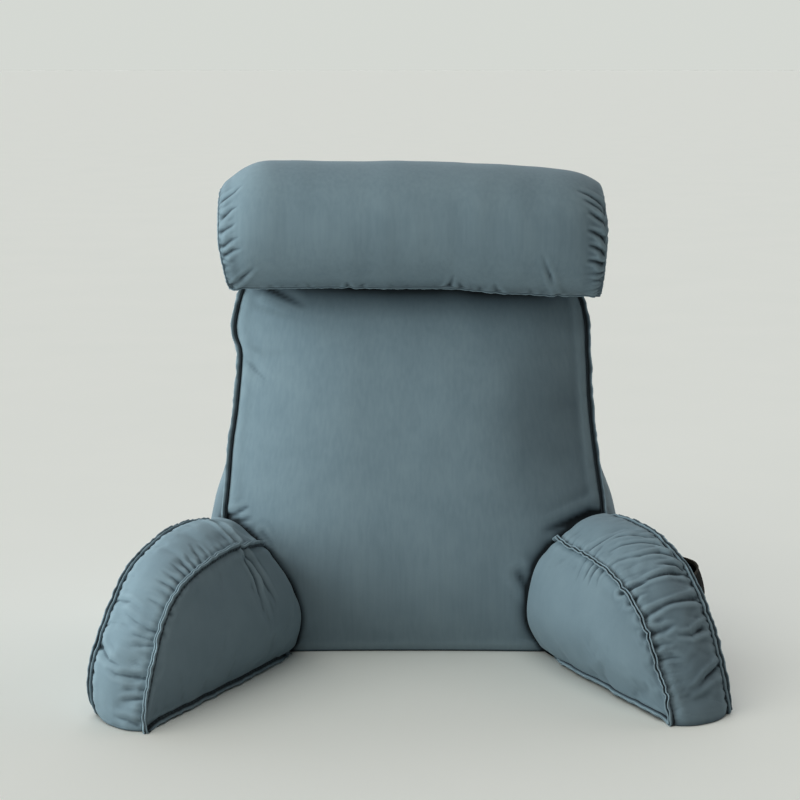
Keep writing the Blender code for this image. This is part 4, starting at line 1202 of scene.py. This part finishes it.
# back cushion
strip, swell = stripMask(backItem), backCushion["seamSwell"]
front, rear = (closed(ringPath(backItem, ring)[0]) for ring in (backFront, backRear))
frontSize, rearSize = lengths(front)[-1], lengths(rear)[-1]
dress(backItem, foldLines(backCushion["folds"]), [
    (front, [puckers(frontSize, backCushion["frontPuckers"], 11)], strip < 0.4, swell),
    (front, [puckers(frontSize, backCushion["stripPuckers"], 12)], strip > 0.6, 0.0),
    (rear, [puckers(rearSize, backCushion["stripPuckers"], 13)], 1.0, swell),
], [((0.13, 0.13, 0.16), 0.0020, 1), ((0.045, 0.05, 0.07), 0.0005, 2)])
backPaths = {"front": ringPath(backItem, backFront), "rear": ringPath(backItem, backRear)}

# arms
armPaths = {}
for item, arm, innerRing, outerRing, seed in ((leftItem, leftArm, leftInner, leftOuter, 21),
                                              (rightItem, rightArm, rightInner, rightOuter, 31)):
    strip, swell = stripMask(item), 0.5 * armShape["seamSwell"]
    inner, outer = (closed(ringPath(item, ring)[0]) for ring in (innerRing, outerRing))
    size = lengths(inner)[-1]
    seams = []
    for path, mask, kinds in ((inner, strip > 0.6, (("stripPuckers", 0), ("fineStripPuckers", 5))),
                              (inner, strip < 0.4, (("panelPuckers", 1),)),
                              (outer, strip > 0.6, (("stripPuckers", 2), ("outerTucks", 6))),
                              (outer, strip < 0.4, (("panelPuckers", 3),))):
        sets = [puckers(size, armShape[kind], seed + more) for kind, more in kinds]
        seams.append((path, sets, mask, swell))
    dress(item, foldLines(arm["folds"]), seams,
          [((0.09, 0.09, 0.09), 0.0016, seed), ((0.030, 0.030, 0.035), 0.0004, seed + 4)],
          foldLines(arm["creases"]), arm["lobes"])
    armPaths[item.name] = {"inner": ringPath(item, innerRing), "outer": ringPath(item, outerRing)}

# bolster
b = headBolster
(middleX, middleY, middleZ), sinking = b["centre"], math.sin(b["tilt"])
left, right = (closed(ringPath(bolsterItem, ring)[0]) for ring in (bolsterLeft, bolsterRight))
puckerTurn = math.radians(b["puckerAngle"])
bottomSeam = np.array([
    (middleX + x, middleY - b["radius"] * math.cos(puckerTurn),
     middleZ + b["radius"] * math.sin(puckerTurn) - x * sinking)
    for x in np.linspace(-b["halfLength"] + 0.02, b["halfLength"] - 0.02, 200)])
endSize = lengths(left)[-1]
# shade: painted shade beside the bolster's seams, strength 0.38 over about 22 mm
dress(bolsterItem, laidOn(skinOf(bolsterItem), foldLines(b["folds"])), [
    (left, [puckers(endSize, b["endPuckers"], 41)], 1.0, b["endSwell"]),
    (right, [puckers(endSize, b["rightPuckers"], 42)], 1.0, b["endSwell"]),
    (bottomSeam, [puckers(lengths(bottomSeam)[-1], b["seamPuckers"], 43)], 1.0, 0.0),
], [((0.034, 0.09, 0.16), 0.0008, 5), ((0.10, 0.10, 0.10), 0.0012, 6)], shade=(0.38, 0.022))
print("folds and puckers placed")


# contact: the arms end on the back, and the bolster lies on it
def clearOf(tree, point):
    # Distance to a skin, negative inside it
    place, normal, _, distance = tree.find_nearest(Vector(point))
    return distance if (Vector(point) - place).dot(normal) > 0 else -distance


def endOn(item, tree, gap):
    # Cut away what lies inside another cushion and lay the cut edge on its skin
    body = bmesh.new()
    body.from_mesh(item.data)
    inside = {v for v in body.verts
              if v.co.y > armShape["rootLimit"] and clearOf(tree, v.co) < gap}
    bmesh.ops.delete(body, geom=[f for f in body.faces if all(v in inside for v in f.verts)],
                     context="FACES")
    loose = [v for v in body.verts if not v.link_faces]
    bmesh.ops.delete(body, geom=loose, context="VERTS")
    for vert in body.verts:
        if vert in inside:
            place, normal, _, _ = tree.find_nearest(vert.co)
            vert.co = place + normal * gap
            vert.co.z = max(vert.co.z, 0.0)
    bmesh.ops.holes_fill(body, edges=[e for e in body.edges if e.is_boundary], sides=0)
    bmesh.ops.triangulate(body, faces=[f for f in body.faces if len(f.verts) > 4])
    body.to_mesh(item.data)
    body.free()
    item.data.update()


backSkin = skinOf(backItem)
grooveDepth, grooveRun = armShape["rootGroove"]
for item in (leftItem, rightItem):
    points, normals = meshPoints(item.data), meshNormals(item.data)
    rooted = (points[:, 1] > armShape["rootLimit"]) & (points[:, 2] > 0.004)
    for k in np.where(rooted)[0]:
        away = max(0.0, backSkin.find_nearest(Vector(points[k]))[3])
        level = min(1.0, (points[k, 2] - 0.004) / 0.02)
        points[k] -= normals[k] * grooveDepth * level * math.exp(-(away / grooveRun) ** 1.3)
    setPoints(item.data, points)
    endOn(item, backSkin, 0.0008)

points = meshPoints(bolsterItem.data)
highest = backCushion["top"] - 0.004      # rays above this would pass over the back
for k in np.where(points[:, 2] < b["contactHeight"])[0]:
    x, y, z = points[k]
    hit = backSkin.ray_cast(Vector((x, -1.0, min(z, highest))), Vector((0.0, 1.0, 0.0)))[0]
    if hit is not None:
        points[k, 1] = min(y, hit.y - b["clearance"])
setPoints(bolsterItem.data, points)

backSkin, leftSkin, rightSkin = skinOf(backItem), skinOf(leftItem), skinOf(rightItem)
bolsterSkin = skinOf(bolsterItem)
# Where the pieces meet, the cloth is painted in shade: a narrow black line and a soft edge beside
# it.
# Run and strength of each, then height and the gap that is still dark there.
meeting = {
    "left": ([(0.0036, 2.3), (0.0080, 0.5)], [
        (0.0, 0.0005), (0.017, 0.0015), (0.031, 0.0030), (0.059, 0.0034), (0.072, 0.0036),
        (0.085, 0.0052), (0.098, 0.0070), (0.123, 0.0076), (0.135, 0.0066), (0.147, 0.0058),
        (0.158, 0.0068), (0.170, 0.0086), (0.190, 0.0080)]),
    "right": ([(0.0040, 2.3), (0.0150, 0.9)], [
        (0.0, 0.0005), (0.017, 0.0015), (0.031, 0.0032), (0.073, 0.0035), (0.099, 0.0046),
        (0.112, 0.0050), (0.160, 0.0060)]),
    "bolster": ([(0.0070, 1.5), (0.0240, 1.15)], [(0.0, 0.0095)]),
    "cushion": ([(0.0045, 2.2)], [(0.0, 0.0)]),
}
for item, node, cloth, shaded, touching in (
        (backItem, "back_cushion", "cover_cloth", backCushion["shaded"],
         [(leftSkin, *meeting["left"]), (rightSkin, *meeting["right"]),
          (bolsterSkin, *meeting["bolster"])]),
        (leftItem, "arm_left", "arm_cloth", (), [(backSkin, *meeting["cushion"])]),
        (rightItem, "arm_right", "arm_cloth", rightArm["shaded"],
         [(backSkin, *meeting["cushion"])]),
        (bolsterItem, "head_bolster", "bolster_cloth", headBolster["shaded"],
         [(backSkin, *meeting["cushion"])])):
    smoothShade(item.data)
    storeHollows(item, touching=touching, shaded=shaded)
    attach(item, "root")
    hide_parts(node)
print("cushions meet:", [len(o.data.polygons)
                         for o in (backItem, leftItem, rightItem, bolsterItem)])


# seam flanges: the two seam allowances stand up outside the stitching
flangeLook = {
    "height": 0.0068,
    "layer": 0.0021,          # each layer is a turned edge, two folds of cloth
    "gap": 0.0018,            # between the layers at the crest
    "wave": 0.0009,
    "step": 0.0016,
    "stitch": 0.0062,         # from one stitch to the next
    "panelShare": 1.0,        # height of the layer on the panel's side, as a share
    "stripShare": 0.92,
    "lean": 0.0,              # towards the panel
    "panelCrest": 0.9,        # painted tone of the panel-side layer's crest: a highlight when pale, shade when dark
    "endClearance": 0.0015,
    "groundLift": 0.0016,
    "faceTone": -0.9,         # painted shade on a layer's outer face above the stitching
    "rimTone": -1.6,          # and the painted tone of its inner face just under the crest, shade when below zero
    "groundShade": 0.7,
    "groundTrim": 0.0,        # share of the height that it loses there
    "groundHeight": 0.0085,   # of the seam along the ground
    # size and share of the waves sideways, in the height, and in each layer's own edge
    "waves": ((0.015, 0.30), (0.029, 0.55), (0.061, 0.6)),
    "tallWaves": ((0.024, 0.4), (0.050, 0.6)),
    "edgeWaves": ((0.0125, 0.5), (0.022, 0.5)),
    "edgeWave": 0.0003,
    "rises": (-0.12, 0.14, 0.34, 0.60, 0.84, 1.0),   # a layer's rows, stitching to crest
    "stopAtBack": True,
    "corner": None,           # where it turns up from the ground and stands higher
    "farTones": None,         # painted tones of the far layer's inner face, at the left and at the right, darker where less light falls
}


def waves(length, sizes, draw):
    # Uneven waves along a seam, from a few sine curves with their crests sharpened
    total = np.zeros(len(length))
    for size, share in sizes:
        phase, turn = draw.uniform(0, 2 * math.pi), draw.uniform(0, 2 * math.pi)
        warp = np.sin(length / 0.11 * 2 * math.pi + turn)
        value = np.sin(2 * math.pi * length / size + phase + warp)
        total += share * np.sign(value) * np.abs(value) ** 0.7
    return total


def squared(tangent, out):
    # Unit vectors along a seam, and out of the cover at right angles to it
    tangent = tangent / np.linalg.norm(tangent, axis=1)[:, None]
    out = out - (out * tangent).sum(axis=1)[:, None] * tangent
    return tangent, out / np.linalg.norm(out, axis=1)[:, None]


def sewEdge(item, tones):
    # A seam's edge is a strip of the cover's cloth, held in the stitching; its painted shade and
    # highlight tones are stored on its points
    storeValues(item.data, "hollow", np.maximum(-2.0, tones))
    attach(item, "root")


def seamFlange(name, path, out, panel, node, look, seed):
    # Two wavy layers joined at the stitching, each a closed ribbon
    shares = np.linspace(0.0, 1.0, int(lengths(path)[-1] / look["step"]))
    out = atShares(path, shares, out)
    path = atShares(path, shares)
    for _ in range(3):
        path[1:-1] = 0.25 * path[:-2] + 0.5 * path[1:-1] + 0.25 * path[2:]
    tangent, out = squared(np.gradient(path, axis=0), out)
    thick = np.cross(tangent, out)
    thick *= np.sign((thick * np.array(panel)).sum(axis=1))[:, None]
    lean, height, layer = look["lean"], look["height"], look["layer"]
    out, thick = (math.cos(lean) * out + math.sin(lean) * thick,
                  math.cos(lean) * thick - math.sin(lean) * out)
    keep = [k for k in range(len(path)) if not look["stopAtBack"] or min(
        clearOf(backSkin, path[k] + out[k] * 0.001),
        clearOf(backSkin, path[k] + out[k] * height)) > look["endClearance"]]
    draw = random.Random(seed)
    s = lengths(path)
    wave = waves(s, look["waves"], draw)
    tall = waves(s, look["tallWaves"], draw)
    stitched = (np.mod(s / look["stitch"], 1.0) < 0.6) * 1.0
    rises = np.array(look["rises"])
    around = 2 * len(rises)
    vertices, faces, tones = [], [], []
    for sign, layerShare, crest in ((1.0, look["panelShare"], look["panelCrest"]),
                                    (-1.0, look["stripShare"], 0.9)):
        edge = waves(s, look["edgeWaves"], draw)
        faces += tubeFaces(len(keep), around, first=len(vertices))
        for k in keep:
            grounded = max(0.0, 1.0 - path[k][2] / 0.020)
            top = height * layerShare * (1.0 + 0.07 * tall[k] + 0.05 * edge[k])
            top *= 1.0 - look["groundTrim"] * grounded
            if look["corner"] is not None:
                top *= 1.0 + 0.55 * nearTo(path[k:k + 1], look["corner"], 0.007)[0]
            high = np.maximum(0.0, rises) * top / height
            middle = (sign * (0.5 * layer + 0.5 * look["gap"] * high ** 1.3)
                      + look["wave"] * wave[k] * high ** 1.4
                      + look["edgeWave"] * edge[k] * high)
            half = 0.5 * layer * np.where(rises == 1.0, 0.45,
                                          0.6 + 0.4 * np.minimum(1.0, high * 1.6))
            base = path[k] + out[k] * (rises * top)[:, None]
            inner = base + thick[k] * (middle - sign * half)[:, None]
            outer = base + thick[k] * (middle + sign * half)[:, None]
            vertices += [*inner, *outer[::-1]]
            # painted shade between the layers and at the foot, darkest at each stitch and beside
            # the ground, and a painted highlight on the crest
            shade = look["groundShade"] * grounded
            foot = -1.9 + 0.7 * (1.0 - stitched[k])
            innerTones = [-2.0 + 0.4 * max(0.0, rise) for rise in rises[:-2]]
            innerTones += [look["rimTone"], crest]
            outerTones = [tone - shade for tone in (foot, foot, look["faceTone"], min(-0.1, crest))]
            outerTones += [0.5 * crest, crest]
            if look["farTones"]:
                right = min(1.0, max(0.0, 0.5 + path[k][0] / 0.3))
                if sign > 0.0:
                    outerTones = [look["faceTone"]] * len(rises)
                else:
                    innerTones = [(1.0 - right) * a + right * b for a, b in zip(*look["farTones"])]
            tones += innerTones + outerTones[::-1]
    vertices = np.array(vertices)
    vertices[:, 2] = np.maximum(vertices[:, 2], 0.0003)
    item = addPiece(name, vertices, faces, seamCotton)
    smoothShade(item.data, 50)
    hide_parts(node)
    sewEdge(item, tones)


# arms: what each flange has of its own, with its painted shade and highlight tones
armFlanges = {
    ("left", "inner"): {"lean": math.radians(-34.0), "stripShare": 1.0, "tucked": 10,
                        "endClearance": 0.0080, "gap": 0.0005, "layer": 0.0024, "rimTone": 0.2,
                        "faceTone": -1.7},
    ("right", "inner"): {"lean": math.radians(4.0), "tucked": 14, "groundTrim": 0.45,
                         "groundShade": 1.2},
    ("left", "outer"): {"lean": math.radians(8.0), "stripShare": 0.55},
    ("right", "outer"): {"lean": math.radians(8.0), "stripShare": 0.55},
}
# the first points of an arm's border run along the ground, up the tip and back over the top
sewn, columns = len(armOrder) - armShape["rows"] + 1, armShape["columns"] + 1
for item, skin, arm, side, seed in ((leftItem, leftSkin, leftArm, "left", 59),
                                    (rightItem, rightSkin, rightArm, "right", 60)):
    across = armAxes(arm)[2]
    for which, (path, normal) in armPaths[item.name].items():
        look = dict(flangeLook, restsOn=item.name, **armFlanges[side, which])
        panel = -across if which == "inner" else across
        line = path[:sewn].copy()
        low = np.clip(line[:, 2] / 0.030, 0.0, 1.0)[:, None]
        out = normal[:sewn] * low + panel * (1.0 - low)
        out[:, 2] = np.where(line[:, 2] < 0.030, np.maximum(out[:, 2], 0.0), out[:, 2])
        # the inner seam rises from the ground, except near the back and at the tip
        tipped = panel * 0.80 + np.array((0.0, 0.0, -0.60))
        for i in range(columns if which == "inner" else 0):
            start = Vector(line[i]) + Vector(panel) * 0.08
            start.z = look["groundHeight"]
            hit = skin.ray_cast(start, Vector(-panel))[0]
            if hit is not None:
                share = min(1.0, (columns - 1 - i) / 5.0)
                share *= min(1.0, max(0.0, (i - look["tucked"]) / 5.0))
                line[i] = (1.0 - share) * line[i] + share * np.array(hit)
                out[i] = (1.0 - share) * out[i] + share * tipped
        line[:, 2] = np.maximum(line[:, 2], look["groundLift"])
        look["corner"] = line[columns - 1].copy()
        seamFlange(f"{side}Arm{which.capitalize()}SeamFlange", line, out, panel,
                   f"arm_{side}_{which}_flange", look, seed)

# back: up one side, over the top and down the other
climb = list(range(backCushion["columns"], len(backFront))) + [0]
# the back's flanges are painted in shade on the panel-side layer and on the faces, the far layer's
# inner face darker towards the right, away from the light
backLook = dict(flangeLook, restsOn=backItem.name, stopAtBack=False, panelShare=0.36,
                stripShare=1.0, panelCrest=-2.0, faceTone=-2.0,
                farTones=((-2.0, -2.0, -1.4, -0.1, 0.4, 0.9), (-2.0, -1.9, -1.9, -1.8, -1.2, 0.9)))
for which, facing, seed in (("front", -1.0, 75), ("rear", 1.0, 74)):
    path, normal = backPaths[which]
    chosen = [k for k in climb if path[k][2] > 0.012]
    seamFlange(f"back{which.capitalize()}SeamFlange", path[chosen], normal[chosen],
               (0.0, facing, 0.0), f"back_{which}_flange", backLook, seed)
print("seam flanges sewn")

# bolster: narrow corded edges along its lower seam and round both ends
cordLook = {
    "radius": 0.0014, "wave": 0.0009, "step": 0.0020, "lift": 0.0004,
    "cut": 0.0100,        # flat width of the strip folded into the edge
    "legs": 0.0056,       # how far its two layers reach inside the cover
    "turns": (-90.0, -54.0, -18.0, 18.0, 54.0, 90.0),
    "waves": ((0.013, 0.4), (0.027, 0.6)),      # size and share, sideways
    "swells": ((0.009, 0.5), (0.017, 0.5)),     # and in its thickness
}


def seamCord(name, path, out, look, seed, ends="capped"):
    # A thin wavy cord on the seam, its two layers reaching into the cover behind it
    shares = np.linspace(0.0, 1.0, int(lengths(path)[-1] / look["step"]), endpoint=ends == "capped")
    out = atShares(path, shares, out)
    path = atShares(path, shares)
    tangent = np.roll(path, -1, axis=0) - np.roll(path, 1, axis=0)
    if ends == "capped":
        tangent[0], tangent[-1] = tangent[1], tangent[-2]
    tangent, out = squared(tangent, out)
    side = np.cross(tangent, out)
    draw = random.Random(seed)
    s = lengths(path)
    wave = waves(s, look["waves"], draw)
    swell = waves(s, look["swells"], draw)
    vertices, tones = [], []
    for k in range(len(path)):
        r = look["radius"] * (1.0 + 0.22 * swell[k])
        centre = path[k] + out[k] * (look["lift"] + 0.2 * r) + side[k] * look["wave"] * wave[k]
        # the cord is painted pale on its crest as a highlight, and dark at its sides and legs as
        # shade
        for turn in map(math.radians, look["turns"]):
            vertices.append(centre + r * (out[k] * math.cos(turn) + side[k] * math.sin(turn)))
            tones.append(1.9 * math.cos(turn) - 1.1)
        for share in (0.5, -0.5):
            vertices.append(centre - out[k] * look["legs"] + side[k] * r * share)
            tones.append(-1.1)
    item = addPiece(name, vertices, tubeFaces(len(path), len(look["turns"]) + 2, ends), seamCotton)
    sewEdge(item, tones)


lowerTurn = math.radians(b["lowerSeamAngle"])
ray = Vector((0.0, -math.cos(lowerTurn), math.sin(lowerTurn)))
lower, lowerOut = [], []
for x in np.linspace(-b["halfLength"] + b["seamInset"][0],
                     b["halfLength"] - b["rightTrim"] - b["seamInset"][1], 220):
    heart = Vector((middleX + x, middleY, middleZ - x * sinking))
    hit, normal, _, _ = bolsterSkin.ray_cast(heart + ray * 0.2, -ray)
    if hit is not None:
        lower.append(hit)
        lowerOut.append(normal)
seamCord("headBolsterLowerSeamEdge", np.array(lower), np.array(lowerOut), cordLook, 91)
for label, ring, seed in (("Left", bolsterLeft, 96), ("Right", bolsterRight, 97)):
    path, normal = map(closed, ringPath(bolsterItem, ring))
    seamCord(f"headBolster{label}SeamEdge", path, normal, cordLook, seed, "joined")
print("bolster seams corded")

# pocket: a patch sewn to the right arm's outer panel, standing off it at its bound mouth
pocket = {
    "start": 0.040, "end": 0.200,    # along the arm
    "foot": 0.012,
    "belowSeam": 0.016,              # mouth, under the outer seam
    "highest": 0.141,
    "slack": 0.045,
    "roundness": 0.75,
    "fullest": 0.74,                 # share of the height where it stands off furthest
    "liftPower": 1.5,
    "gathered": 0.10,                # share of the slack taken up again at the mouth
    "ripple": 0.0016,
    "clearance": 0.0008,
    "thickness": 0.0009,
    "columns": 72, "rows": 56,
    "bindingHeight": 0.0036,
    "bindingThickness": 0.0006,
    "bindingGap": 0.0003,
    "bindingInset": 4,               # columns of the mouth left bare at each end
}


def closedSheet(name, near, far, material):
    columns, rows = near.shape[:2]
    count = columns * rows
    faces = []
    for i in range(columns - 1):
        for j in range(rows - 1):
            a, b = i * rows + j, (i + 1) * rows + j
            faces += [(a, a + 1, b + 1, b), (count + a, count + b, count + b + 1, count + a + 1)]
    edge = [i * rows + j for i, j in borderOrder(columns, rows)]
    faces += [(a, b, count + b, count + a) for a, b in zip(edge, edge[1:] + edge[:1])]
    vertices = np.concatenate([near.reshape(-1, 3), far.reshape(-1, 3)])
    return addPiece(name, vertices, faces, material)


root, along, across = armAxes(rightArm)
outerTable = smoothCurve(rightArm["outerSeam"])
near = np.zeros((pocket["columns"], pocket["rows"], 3))
for i, u in enumerate(np.linspace(0.0, 1.0, pocket["columns"])):
    run = pocket["start"] + u * (pocket["end"] - pocket["start"])
    mouth = min(fromTable(outerTable, run) - pocket["belowSeam"], pocket["highest"])
    for j, v in enumerate(np.linspace(0.0, 1.0, pocket["rows"])):
        height = pocket["foot"] + v * (mouth - pocket["foot"])
        start = root + along * run + across * 0.30 + np.array((0.0, 0.0, height))
        hit = rightSkin.ray_cast(Vector(start), Vector(-across))[0]
        lift = pocket["slack"] * math.sin(math.pi * u) ** pocket["roundness"]
        lift *= min(1.0, v / pocket["fullest"]) ** pocket["liftPower"]
        above = max(0.0, (v - pocket["fullest"]) / (1.0 - pocket["fullest"]))
        lift *= 1.0 - pocket["gathered"] * above ** 2
        lift += pocket["ripple"] * v * math.sin(math.pi * u) * math.sin(9.0 * u + 2.0 * v)
        near[i, j] = np.array(hit) + across * (pocket["clearance"] + max(0.0, lift))
far = near + across * pocket["thickness"]
pocketItem = closedSheet("sidePocket", near, far, pocketNylon)
storeHollows(pocketItem)
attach(pocketItem, "root")
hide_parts("side_pocket")

# the tape is folded over the mouth: inside, over the edge and outside again
mouthNear, mouthFar = near[:, -1], far[:, -1]
gap, drop = pocket["bindingGap"], -pocket["bindingHeight"]
skin = gap + pocket["bindingThickness"]
section = [(mouthNear, -skin, drop), (mouthNear, -skin, skin), (mouthFar, skin, skin),
           (mouthFar, skin, drop), (mouthFar, gap, drop), (mouthFar, gap, gap),
           (mouthNear, -gap, gap), (mouthNear, -gap, drop)]
keep = range(pocket["bindingInset"], pocket["columns"] - pocket["bindingInset"])
vertices = [base[i] + across * side + np.array((0.0, 0.0, up))
            for i in keep for base, side, up in section]
faces = tubeFaces(len(keep), len(section))
bindingItem = addPiece("pocketBinding", vertices, faces, bindingTape)
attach(bindingItem, "root")
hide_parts("pocket_binding")
print("pocket sewn on")

low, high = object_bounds()
